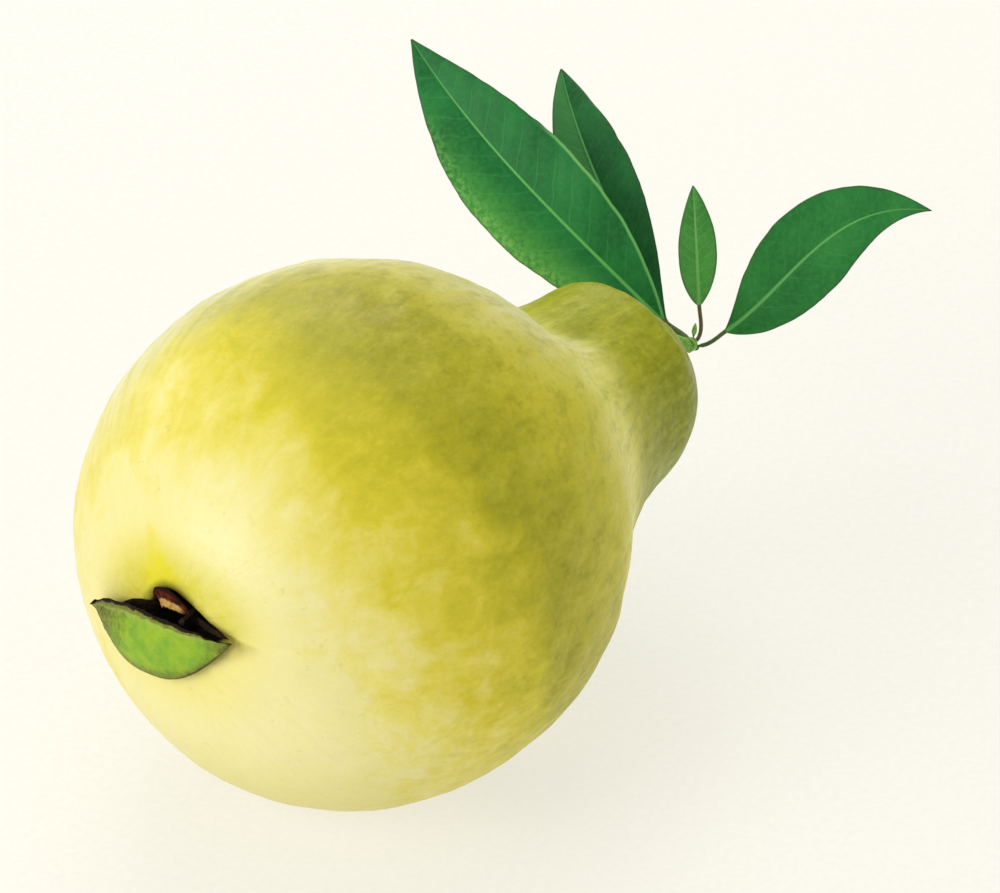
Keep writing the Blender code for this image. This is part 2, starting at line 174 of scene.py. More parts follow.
# A path is four points: sideways, upward and outward from the hollow's centre.
DRIED_SEPALS = {
    "sepal_dry_top": dict(
        path=((-1.6, 1.3, -1.5), (-3.3, 3.2, 0.6), (1.2, 4.3, 1.8), (3.4, 1.9, 0.4)),
        half_width=1.5, half_thickness=0.5,
    ),
    "sepal_dry_left": dict(
        path=((-2.7, 0.5, -1.5), (-4.0, 1.2, 0.6), (-6.2, 0.2, 0.8), (-8.5, -1.1, 0.9)),
        half_width=0.75, half_thickness=0.34,
    ),
    "sepal_dry_right": dict(
        path=((3.4, 1.0, -1.2), (5.0, 1.6, 0.3), (7.2, 0.9, 0.8), (9.2, 0.5, 0.7)),
        half_width=0.42, half_thickness=0.3,
    ),
}


# ---- small maths
def smooth_max(a, b, blend):
    share = np.maximum(blend - np.abs(a - b), 0.0) / blend
    return np.maximum(a, b) + share * share * blend / 4.0


def grow(low, high, x):
    """0 before low, 1 beyond high, smooth between them."""
    t = np.clip((x - low) / (high - low), 0.0, 1.0)
    return t * t * (3.0 - 2.0 * t)


def fade(low, high, x):
    """1 before low, 0 beyond high, smooth between them."""
    return 1.0 - grow(low, high, x)


def mix(a, b, t):
    return a + (b - a) * t


def full_turn(count):
    return TAU * np.arange(count) / count


def unit(v):
    v = np.asarray(v, float)
    return v / np.linalg.norm(v, axis=-1, keepdims=True)


CELL_FACTORS = (73856093, 19349663, 83492791)
SEED_FACTOR = 2654435761
MIX_FACTOR = 1274126177


def lattice(cells, seed):
    """A repeatable number from -1 to 1 for each whole-numbered cell."""
    mixed = np.uint64(seed * SEED_FACTOR)
    for axis, factor in enumerate(CELL_FACTORS):
        mixed = mixed ^ cells[..., axis].astype(np.uint64) * np.uint64(factor)
    mixed = (mixed ^ (mixed >> np.uint64(13))) * np.uint64(MIX_FACTOR)
    mixed = mixed ^ (mixed >> np.uint64(16))
    return (mixed & np.uint64(0xFFFF)).astype(float) / 32767.5 - 1.0


def noise(points, seed, octaves=1):
    """Smooth value noise from about -1 to 1 at points (..., 3), one cell to a unit."""
    total, weight, reach = 0.0, 1.0, 0.0
    for octave in range(octaves):
        scaled = points * 2.0**octave + 1000.0
        cell = np.floor(scaled).astype(np.int64)
        f = scaled - cell
        u = f * f * f * (f * (f * 6.0 - 15.0) + 10.0)
        value = 0.0
        for corner in range(8):
            offset = np.array([corner & 1, corner >> 1 & 1, corner >> 2 & 1])
            share = np.prod(np.where(offset == 1, u, 1.0 - u), axis=-1)
            value = value + share * lattice(cell + offset, seed + octave)
        total = total + weight * value
        reach += weight
        weight *= 0.5
    return total / reach


def off_line(centres, side, up, across, rise):
    """Points beside a line's centres, each across along side and rise along up."""
    return centres[:, None] + across[..., None] * side[:, None] + rise[..., None] * up[:, None]


def rows_of(t, grid):
    """One number of t for each row of the grid, the same across its columns."""
    return np.broadcast_to(t[:, None], grid.shape[:2])


def grid_normals(points):
    """Unit normals of a grid of points (rows, columns, 3) whose columns close on themselves."""
    down = np.gradient(points, axis=0)
    across = 0.5 * (np.roll(points, -1, axis=1) - np.roll(points, 1, axis=1))
    normal = np.cross(across, down)
    return normal / np.maximum(np.linalg.norm(normal, axis=-1, keepdims=True), 1e-9)


# ---- meshes
def new_object(name, data):
    made = bpy.data.objects.new(name, data)
    bpy.context.scene.collection.objects.link(made)
    return made


def signed_volume(points, triangles):
    a, b, c = (points[triangles[:, i]] for i in range(3))
    return float(np.einsum("ij,ij->i", a, np.cross(b, c)).sum() / 6.0)


def loft(name, rings, start, end, values):
    """A closed body through rings (rows, columns, 3) in millimetres. values maps an attribute's name
    to a grid of numbers or vectors, and what it is at each end unless that is 0."""
    rows, columns, _ = rings.shape
    points = np.concatenate([[start], rings.reshape(-1, 3), [end]])
    index = 1 + np.arange(rows * columns).reshape(rows, columns)
    nextcol = np.roll(index, -1, axis=1)
    quads = np.stack([index[:-1], nextcol[:-1], nextcol[1:], index[1:]], -1).reshape(-1, 4)
    first = np.stack([np.zeros(columns, int), nextcol[0], index[0]], -1)
    last = np.stack([index[-1], nextcol[-1], np.full(columns, len(points) - 1)], -1)
    triangles = np.concatenate([first, last, quads[:, :3], quads[:, [0, 2, 3]]])
    if signed_volume(points, triangles) < 0.0:
        quads, first, last = quads[:, ::-1], first[:, ::-1], last[:, ::-1]
    faces = [tuple(f) for f in first.tolist()] + [tuple(f) for f in quads.tolist()]
    faces += [tuple(f) for f in last.tolist()]
    mesh = bpy.data.meshes.new(name)
    mesh.from_pydata((points * MM).tolist(), [], faces)
    mesh.shade_smooth()
    for key, value in values.items():
        grid, at_start, at_end = value if isinstance(value, tuple) else (value, 0.0, 0.0)
        flat = np.asarray(grid, float).reshape(rows * columns, -1)
        size = flat.shape[1]
        whole = np.concatenate([np.reshape(at_start, (1, size)), flat, np.reshape(at_end, (1, size))])
        kind, field = ("FLOAT", "value") if size == 1 else ("FLOAT_VECTOR", "vector")
        made = mesh.attributes.new(key, kind, "POINT")
        made.data.foreach_set(field, whole.astype(np.float32).ravel())
    return new_object(name, mesh)


def fit_to_node(reference, node):
    """The map from a rule's points to the CAD node's box. reference is what the CAD solid has too."""
    low, high = (np.array(corner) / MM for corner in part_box(node))
    flat = reference.reshape(-1, 3)
    start, stop = flat.min(axis=0), flat.max(axis=0)
    return lambda points: low + (points - start) * (high - low) / (stop - start)


def add_piece(name, node, slot, coat, plain, rings, start, end, values):
    """A closed body dressed in its coat. plain is the part of it that the CAD solid has too."""
    fitted = fit_to_node(plain, node)
    dress(loft(name, fitted(rings), fitted(start), fitted(end), values), node, coat)


def dress(piece, node, coat):
    piece.data.materials.append(coat)
    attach(piece, "root")
    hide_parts(node)


# ---- shader building
class Nodes:
    """A material's node tree with short calls for the nodes used here."""

    def __init__(self, name):
        self.material = bpy.data.materials.new(name)
        self.material.use_nodes = True
        self.tree = self.material.node_tree
        self.shader = self.tree.nodes["Principled BSDF"]

    def add(self, kind, inputs=(), **settings):
        made = self.tree.nodes.new(kind)
        for key, value in settings.items():
            setattr(made, key, value)
        for key, value in dict(inputs).items():
            self.feed(made.inputs[key], value)
        return made

    def feed(self, socket, value):
        if isinstance(value, bpy.types.NodeSocket):
            self.tree.links.new(value, socket)
        else:
            socket.default_value = value

    def value(self, name):
        return self.add("ShaderNodeAttribute", attribute_name=name).outputs["Fac"]

    def vector(self, name):
        return self.add("ShaderNodeAttribute", attribute_name=name).outputs["Vector"]

    def place(self, scale):
        """The piece's own coordinates, scaled per axis."""
        here = self.add("ShaderNodeTexCoord").outputs["Object"]
        return self.stretch(here, scale)

    def stretch(self, vector, scale):
        scale = (scale,) * 3 if isinstance(scale, (int, float)) else scale
        return self.add("ShaderNodeMapping", {"Vector": vector, "Scale": scale}).outputs["Vector"]

    def math(self, operation, a, b=0.0, clamp=False):
        made = self.add("ShaderNodeMath", {0: a, 1: b}, operation=operation, use_clamp=clamp)
        return made.outputs[0]

    def times(self, product, *others):
        for other in others:
            product = self.math("MULTIPLY", product, other)
        return product

    def plus(self, a, b):
        return self.math("ADD", a, b)

    def minus(self, a, b):
        return self.math("SUBTRACT", a, b)

    def swing(self, source, reach):
        """A noise that leans to both sides of nothing, half of reach each way."""
        return self.times(self.minus(source, 0.5), reach)

    def span(self, x, low, high, to_low=0.0, to_high=1.0, smooth=True):
        kind = "SMOOTHSTEP" if smooth else "LINEAR"
        sizes = {"Value": x, "From Min": low, "From Max": high, "To Min": to_low, "To Max": to_high}
        return self.add("ShaderNodeMapRange", sizes, interpolation_type=kind).outputs["Result"]

    def noise(self, vector, scale, detail=3.0, roughness=0.55, distortion=0.0):
        sizes = {"Vector": vector, "Scale": scale, "Detail": detail}
        sizes |= {"Roughness": roughness, "Distortion": distortion}
        return self.add("ShaderNodeTexNoise", sizes).outputs["Fac"]

    def cells(self, vector, scale, feature="F1"):
        made = self.add("ShaderNodeTexVoronoi", {"Vector": vector, "Scale": scale}, feature=feature)
        return made.outputs["Distance"]

    def ramp(self, x, stops):
        made = self.add("ShaderNodeValToRGB", {"Fac": x})
        made.color_ramp.interpolation = "LINEAR"
        elements = made.color_ramp.elements
        while len(elements) < len(stops):
            elements.new(0.5)
        for element, (at, color) in zip(elements, stops):
            element.position = at
            element.color = (*color, 1.0)
        return made.outputs["Color"]

    def blend(self, share, a, b, mode="MIX"):
        made = self.add("ShaderNodeMix", data_type="RGBA", blend_type=mode, clamp_result=True)
        self.feed(made.inputs[0], share)
        for socket, color in ((made.inputs[6], a), (made.inputs[7], b)):
            self.feed(socket, color if isinstance(color, bpy.types.NodeSocket) else (*color, 1.0))
        return made.outputs[2]

    def paint(self, toward, *masks, mode="MIX"):
        """The color so far taken toward another one by as much as all the masks let through."""
        self.color = self.blend(self.times(*masks), self.color, toward, mode)

    def bump(self, height, distance, strength, under=None):
        made = self.add("ShaderNodeBump", {"Height": height, "Distance": distance, "Strength": strength})
        if under is not None:
            self.feed(made.inputs["Normal"], under)
        return made.outputs["Normal"]

    def finish(self, roughness, normal=None, **constants):
        self.feed(self.shader.inputs["Base Color"], self.color)
        self.feed(self.shader.inputs["Roughness"], roughness)
        if normal is not None:
            self.feed(self.shader.inputs["Normal"], normal)
        for key, value in constants.items():
            self.shader.inputs[key.replace("_", " ")].default_value = value
        return self.material


# ---- the fruit
def place(along, across, up):
    """From the fruit's own straight axes to where it lies, before the flat spot is pressed in."""
    bent = np.maximum(along - BEND_START, 0.0)
    tip = np.maximum(along - TIP_SIDEWAYS_START, 0.0) / (NECK_END - TIP_SIDEWAYS_START)
    flower = np.maximum(-along - FLOWER_BEND_START, 0.0) / (BODY_RADIUS - FLOWER_BEND_START)
    up = up + BEND_RATE * bent * bent + FLOWER_LIFT * flower * flower
    across = across + TIP_SIDEWAYS * tip * tip + FLOWER_SIDEWAYS * flower * flower
    x = along * cos(AXIS_PITCH) - up * sin(AXIS_PITCH)
    z = along * sin(AXIS_PITCH) + up * cos(AXIS_PITCH)
    return np.stack([x + CENTRE_X, across + 0.0 * x, z + CENTRE_HEIGHT], -1)


def press_flat(points):
    x, y, z = (points[..., i] for i in range(3))
    far = ((x - SAG_CENTRE - CENTRE_X) ** 2 + y * y) / SAG_REACH**2
    z = np.where(z < CENTRE_HEIGHT, z - SAG_DEPTH * np.exp(-far), z)
    return np.stack([x, y, smooth_max(z, 0.0, REST_BLEND)], -1)


def neck_side_radius(along, angle):
    from_crease = 0.5 - 0.5 * np.cos(angle - NECK_CREASE_ANGLE)
    slope = mix(SHOULDER_SLOPE_CREASED, SHOULDER_SLOPE_EASED, grow(*SHOULDER_EASING, from_crease))
    turning = slope / np.hypot(slope, BODY_RADIUS / SHOULDER_REACH)
    body = BODY_RADIUS * np.sqrt(1.0 - np.minimum(along / SHOULDER_REACH, turning) ** 2)
    body = body - slope * np.maximum(along - SHOULDER_REACH * turning, 0.0)
    dome_start = NECK_END - NECK_DOME
    into_dome = np.maximum(along - dome_start, 0.0) / NECK_DOME
    neck = NECK_RADIUS + NECK_TAPER * np.minimum(NECK_END - along, 40.0)
    for height, at, reach, facing in NECK_WAVES:
        toward = 0.5 + 0.5 * np.cos(angle - facing)
        neck = neck + height * np.exp(-(((along - at) / reach) ** 2)) * toward**NECK_WAVE_NARROWNESS
    neck = neck * np.sqrt(np.maximum(1.0 - into_dome**2, 0.0))
    joined = smooth_max(body, neck, NECK_BLEND)
    on_dome = mix(neck, joined, np.minimum((NECK_END - along) / 6.0, 1.0))
    return np.where(along > dome_start, on_dome, joined)


def lobes(radius, angle):
    return radius * (1.0 + LOBE_DEPTH * grow(12.0, 34.0, radius) * np.cos(LOBES * angle + 0.6))


def skin_from_flower(turn, angle):
    """Points, and how far along the straight axis each one is."""
    widen = np.where(np.cos(angle) > 0.0, *HOLLOW_WIDEN)
    power = np.where(np.cos(angle) > 0.0, *HOLLOW_FULLNESS)
    stretch = (np.abs(np.cos(angle)) / widen) ** power
    stretch = stretch + (np.abs(np.sin(angle)) / HOLLOW_HEIGHTEN) ** power
    stretch = stretch ** (-1.0 / power)
    opened = turn * mix(stretch, 1.0, grow(0.0, HOLLOW_SHAPE_FADE, turn))
    radius = lobes(BODY_RADIUS * np.sin(opened), angle)
    along = -BODY_RADIUS * np.cos(opened)
    surface = along
    along = along + DIMPLE_DEPTH * fade(0.0, DIMPLE_ANGLE, turn)
    along = along + HOLLOW_DEPTH * fade(HOLLOW_FLOOR_ANGLE, HOLLOW_RIM_ANGLE, turn)
    return press_flat(place(along, radius * np.cos(angle), radius * np.sin(angle))), surface


def skin_to_stalk(along, angle):
    radius = lobes(neck_side_radius(along, angle), angle)
    cone = TIP_CONE_HEIGHT * fade(0.0, TIP_CONE_RADIUS, radius)
    raised = np.where(along > NECK_END - NECK_DOME, along + cone, along)
    return press_flat(place(raised, radius * np.cos(angle), radius * np.sin(angle))), along


def hollow_frame():
    centre = place(-BODY_RADIUS, 0.0, 0.0)
    outward = unit(centre - place(0.0, 0.0, 0.0))
    side = unit(np.cross((0.0, 0.0, 1.0), outward))
    return centre, side, unit(np.cross(outward, side)), outward


def at_hollow(side, up, out):
    """Points sideways and upward from the hollow's centre, out millimetres above the round body."""
    centre, side_axis, up_axis, out_axis = hollow_frame()
    side, up, out = (np.asarray(v, float)[..., None] for v in (side, up, out))
    drop = BODY_RADIUS - np.sqrt(np.maximum(BODY_RADIUS**2 - side * side - up * up, 0.0))
    return centre + side * side_axis + up * up_axis + (out - drop) * out_axis


def near_hollow(points):
    """Sideways and upward millimetres from the hollow's centre."""
    centre, side_axis, up_axis, _ = hollow_frame()
    return (points - centre) @ side_axis, (points - centre) @ up_axis


def segment_distance(x, y, start, end):
    """Distance from (x, y) to a segment, and the place along it from 0 to 1."""
    dx, dy = end[0] - start[0], end[1] - start[1]
    t = np.clip(((x - start[0]) * dx + (y - start[1]) * dy) / (dx * dx + dy * dy), 0.0, 1.0)
    return np.hypot(x - start[0] - t * dx, y - start[1] - t * dy), t


# Waves of the skin's relief, in millimetres: a height, then a size. Lumps have a seed as well.
SWELL_WAVE = (0.24, 13.0)
LUMP_WAVES = ((0.22, 5.0, 7), (0.06, 1.9, 9))
PLEAT_HEIGHTS = (0.14, 0.035)
STROKE_HEIGHTS = (0.06, 0.025)
PUCKER_HEIGHT = 0.42
SCAR_WAVE = (0.35, 1.3)
FLAT_SPOT_FADE = 3.0

CREASE_START = (-5.3, 10.6)
CREASE_END = (-2.1, 4.2)

PALE_BELOW = 16.0
RIPER_ABOVE = 5.0
# The painted sheen lies on skin turned towards the first direction and away from the second, which is
# the view's.
PAINTED_SHEEN_FACING = np.array((0.2, 0.47, 0.86))
VIEW_FACING = np.array((-0.68, -0.54, 0.5))
LEFT_FACING = np.array((-0.62, 0.78, 0.0))
NECK_PAINTED_SHADE_ANGLE = radians(200.0)
NECK_LEAN = 6.0
NECK_LEAN_ANGLE = radians(100.0)
NECK_LEAN_SHIFT = 4.0
COLLAR_START = (15.0, 27.0)
COLLAR_STOP = (33.0, 43.0)
COLLAR_WAVE = (3.2, 9.0)
HALO_CENTRE = (0.3, 0.8)
HALO_WIDEN = 1.3
HALO_REACH = (4.8, 12.0)
DUSK_FACING = (-0.05, -0.16, 0.99)
DUSK_REACH = 0.38
# Where a painted pool of light lies on the skin: facing, then reach.
PAINTED_LIGHT_FACING = (-0.91, -0.17, 0.375)
PAINTED_LIGHT_REACH = 0.24
STREAK_RADIUS = 20.0
FAR_OFF = 60.0

# Where the skin is more or less ripe than its place along the fruit says: facing, reach, millimetres.
RIPENESS_PATCHES = (
    ((-0.41, 0.36, 0.84), 0.34, -8.0),
    ((-0.68, -0.22, 0.7), 0.28, -6.0),
    ((-0.39, -0.8, 0.45), 0.22, -5.0),
    ((-0.65, -0.76, -0.02), 0.22, 3.5),
    # The next two rows darken the lower left towards its outline: painted shade.
    ((-0.94, -0.05, -0.35), 0.42, 6.0),
    ((-0.86, 0.42, -0.28), 0.35, 8.0),
    ((-0.5, -0.87, 0.07), 0.3, -4.0),
    ((-0.6, -0.71, 0.36), 0.13, 4.0),
    ((-0.76, -0.38, 0.53), 0.13, 4.0),
)


def around_axis(angle, fineness, along):
    """Noise space that closes on itself around the fruit."""
    return np.stack([np.cos(angle) * fineness, np.sin(angle) * fineness, along], -1)


def crease_shape(off, half_width):
    return np.exp(-((off / half_width) ** 2))


def skin_relief(points, along, angle, turn):
    """Millimetres that the skin stands out from the CAD solid."""
    flower_side = along < 0.0
    swell = SWELL_WAVE[0] * noise(points / SWELL_WAVE[1], 3)
    lumpy = 0.45 + 0.55 * grow(-30.0, 0.0, along) * fade(40.0, 56.0, along)
    lumps = [height * noise(points / size, seed, 2) for height, size, seed in LUMP_WAVES]
    swell = swell + lumpy * (lumps[0] + lumps[1])
    turned = around_axis(angle, 5.2, along / 22.0)
    on_neck = grow(8.0, 34.0, along) * fade(50.0, 63.0, along)
    fine_pleats = PLEAT_HEIGHTS[1] * noise(turned * (2.3, 2.3, 2.5), 17)
    pleats = on_neck * (PLEAT_HEIGHTS[0] * noise(turned, 11, 2) + fine_pleats)
    strokes = around_axis(angle, 13.0, along / 16.0)
    ends = grow(-33.0, -20.0, along) * (1.0 - 0.75 * grow(30.0, 44.0, along))
    fine_strokes = STROKE_HEIGHTS[1] * noise(strokes * (2.3, 2.3, 1.6), 39, 2)
    swell = swell + ends * (STROKE_HEIGHTS[0] * noise(strokes, 37, 2) + fine_strokes)
    side, up = near_hollow(points)
    far = np.hypot(side, up)
    spokes = around_axis(np.arctan2(up, side), 3.4, far / 9.0)
    around = grow(4.6, 6.2, far) * fade(6.5, 13.0, far) * flower_side
    pucker = around * PUCKER_HEIGHT * noise(spokes, 23, 2)
    off, t = segment_distance(side, up, CREASE_START, CREASE_END)
    crease = -(0.1 + 0.26 * t) * crease_shape(off, 0.5 + 0.7 * t) * flower_side
    inside = fade(HOLLOW_FLOOR_ANGLE, HOLLOW_RIM_ANGLE, turn)
    scar = inside * SCAR_WAVE[0] * noise(points / SCAR_WAVE[1], 31, 2)
    return swell * (1.0 - 0.6 * inside) + pleats + pucker + crease + scar


def skin_grid():
    """The CAD solid's rings from flower end to stalk end, and each point's along, angle and turn."""
    angles = full_turn(SKIN_AROUND)
    turns = 0.5 * pi * (np.arange(1, FLOWER_STATIONS + 1) / FLOWER_STATIONS) ** 1.6
    turn, angle = np.meshgrid(turns, angles, indexing="ij")
    flower, flower_along = skin_from_flower(turn, angle)
    alongs = NECK_END * (1.0 - (1.0 - np.arange(1, STALK_STATIONS) / STALK_STATIONS) ** 1.8)
    neck_along, neck_angle = np.meshgrid(alongs, angles, indexing="ij")
    neck, neck_along = skin_to_stalk(neck_along, neck_angle)
    rings = np.concatenate([flower, neck])
    along = np.concatenate([flower_along, neck_along])
    angle = np.concatenate([angle, neck_angle])
    turn = np.concatenate([turn, np.full(neck_along.shape, pi)])
    return rings, along, angle, turn


def facing_patch(facing, toward, reach):
    """1 where the skin faces toward, and less the further it turns away."""
    return np.exp(-(((facing - unit(toward)) ** 2).sum(axis=-1)) / reach**2)


def flower_marks(side, up, along, turn):
    """How the skin is marked around the hollow."""
    flower_side = along < 0.0
    # Under the green sepal the hollow's dark colours reach further out: painted shade.
    behind_sepal = grow(0.3, -1.2, up) * grow(2.0, -1.0, side)
    mouth = HOLLOW_RIM_ANGLE * (1.02 + 0.35 * behind_sepal)
    scorch_end = HOLLOW_RIM_ANGLE * (1.27 + 0.6 * grow(0.8, -0.6, up))
    above = grow(-0.45, 0.25, up / np.maximum(np.hypot(side, up), 1e-6))
    from_halo = np.hypot((side - HALO_CENTRE[0]) / HALO_WIDEN, up - HALO_CENTRE[1])
    halo = fade(*HALO_REACH, from_halo) * above * flower_side
    off, t = segment_distance(side, up, CREASE_START, CREASE_END)
    crease = np.minimum(0.45 + 0.8 * t, 1.0) * crease_shape(off, 0.7 + 2.4 * t) * flower_side
    return {
        "hollow": (fade(HOLLOW_FLOOR_ANGLE, mouth, turn), 1.0, 0.0),
        "scorch": (fade(HOLLOW_RIM_ANGLE * 0.98, scorch_end, turn), 1.0, 0.0),
        "halo": (halo, 1.0, 0.0),
        "crease": crease,
        "far": (np.where(flower_side, np.hypot(side, up), FAR_OFF), 0.0, FAR_OFF),
    }


def painted_sheen_share(normals, along):
    """A painted sheen: whitish towards the outline on the upper side, where the skin turns away from the
    view.
    """
    toward_view = normals @ VIEW_FACING
    sideways = normals @ LEFT_FACING
    edge = 0.5 + 0.24 * grow(0.1, 0.6, sideways) + 0.17 * grow(-0.15, -0.45, sideways)
    painted_sheen = fade(0.1, edge, toward_view) * (0.35 + 0.65 * grow(-0.75, -0.1, toward_view))
    return painted_sheen * grow(0.25, 0.7, normals @ PAINTED_SHEEN_FACING) * fade(33.0, 44.0, along)


def body_marks(rings, normals, middle, along, angle):
    """How ripe the skin is in each place, and its broad patches of colour, with painted light, painted
    sheen and painted shade among them.
    """
    height = (rings[..., 2] - CENTRE_HEIGHT) / BODY_RADIUS
    facing = (rings - middle) / BODY_RADIUS
    # Paler towards the bottom: painted bounce light from the floor.
    ripe = along - PALE_BELOW * grow(-0.45, 0.75, -height)
    ripe = ripe + RIPER_ABOVE * grow(0.25, 0.75, height)
    for toward, reach, later in RIPENESS_PATCHES:
        ripe = ripe + later * facing_patch(facing, toward, reach)
    lean = NECK_LEAN_SHIFT - NECK_LEAN * np.cos(angle - NECK_LEAN_ANGLE)
    leaned = along + grow(14.0, 26.0, along) * lean
    uneven = leaned + COLLAR_WAVE[0] * noise(rings / COLLAR_WAVE[1], 61, 2)
    shaded = 0.5 + 0.5 * np.cos(angle - NECK_PAINTED_SHADE_ANGLE)
    low = grow(0.25, 0.85, -height) * fade(-6.0, 12.0, along)
    return {
        "ripe": (ripe + leaned - along, -BODY_RADIUS, NECK_END),
        "along": (along, -BODY_RADIUS, NECK_END),
        "collar_and_sheen": grow(*COLLAR_START, uneven) * fade(*COLLAR_STOP, uneven),
        "painted_shade": (grow(0.66, 0.98, shaded) * grow(34.0, 48.0, leaned), 0.0, 0.5),
        "low": low,
        "painted_sheen": painted_sheen_share(normals, along),
        "dusk": facing_patch(facing, DUSK_FACING, DUSK_REACH),
        "painted_light_pool": facing_patch(facing, PAINTED_LIGHT_FACING, PAINTED_LIGHT_REACH),
    }


def make_fruit(coat):
    rings, along, angle, turn = skin_grid()
    fitted = fit_to_node(rings, "fruit")
    start = fitted(skin_from_flower(0.0, 0.0)[0])
    end = fitted(skin_to_stalk(NECK_END, 0.0)[0])
    rings = fitted(rings)
    normals = grid_normals(rings)
    middle = place(0.0, 0.0, 0.0)
    if (normals[FLOWER_STATIONS, 0] @ (rings[FLOWER_STATIONS, 0] - middle)) < 0.0:
        normals = -normals
    relief = skin_relief(rings, along, angle, turn)
    relief = relief * grow(0.0, FLAT_SPOT_FADE, rings[..., 2])
    shaped = rings + relief[..., None] * normals
    shaped[..., 2] = np.maximum(shaped[..., 2], 0.0)
    side, up = near_hollow(rings)
    values = body_marks(rings, normals, middle, along, angle)
    values |= flower_marks(side, up, along, turn)
    poles = (0.0, 0.0, -BODY_RADIUS), (0.0, 0.0, NECK_END)
    values["turned"] = (around_axis(angle, STREAK_RADIUS, along), *poles)
    piece = loft("guava_skin", shaped, start, end, values)
    dress(piece, "fruit", coat)


# Skin colour against ripeness, which is millimetres from the body's middle where nothing shifts it.
SKIN_STOPS = (
    (-44.0, (0.84, 0.78, 0.44)),
    (-31.0, (0.82, 0.75, 0.32)),
    (-25.5, (0.78, 0.69, 0.15)),
    (-19.0, (0.68, 0.59, 0.04)),
    (-11.0, (0.52, 0.475, 0.02)),
    (-4.0, (0.415, 0.39, 0.02)),
    (3.0, (0.48, 0.445, 0.022)),
    (14.0, (0.6, 0.545, 0.028)),
    (26.0, (0.64, 0.59, 0.045)),
    (36.0, (0.46, 0.455, 0.022)),
    (47.0, (0.34, 0.355, 0.012)),
    (62.0, (0.29, 0.33, 0.014)),
)
SKIN_START, SKIN_STOP = -50.0, 70.0
PALE_STREAK = (0.66, 0.63, 0.16)
DARK_STREAK = (0.26, 0.27, 0.012)
COLLAR_YELLOW_AND_SHEEN = (0.86, 0.82, 0.23)
DUSK_OLIVE = (0.3, 0.275, 0.012)
PAINTED_SHEEN_GREY = (0.78, 0.75, 0.4)
PAINTED_SHEEN_WHITE = (0.84, 0.83, 0.62)
NECK_PAINTED_SHADE = (0.165, 0.205, 0.016)
SPECK_OLIVE = (0.36, 0.35, 0.02)
FLECK_SHADE = (0.52, 0.56, 0.46)
FLECK_YELLOW = (0.66, 0.62, 0.09)
PORE_YELLOW = (0.8, 0.74, 0.25)
LOW_YELLOW = (0.69, 0.62, 0.16)
GLOW_YELLOW = (0.79, 0.7, 0.155)
PAINTED_LIGHT_CREAM = (0.9, 0.86, 0.5)
HALO_YELLOW = (0.64, 0.58, 0.032)
CREASE_YELLOW = (0.76, 0.68, 0.012)
SCORCH_BROWN = (0.26, 0.22, 0.018)
MOUTH_BROWN = (0.19, 0.15, 0.018)
HOLLOW_PAINTED_SHADE = (0.014, 0.008, 0.004)


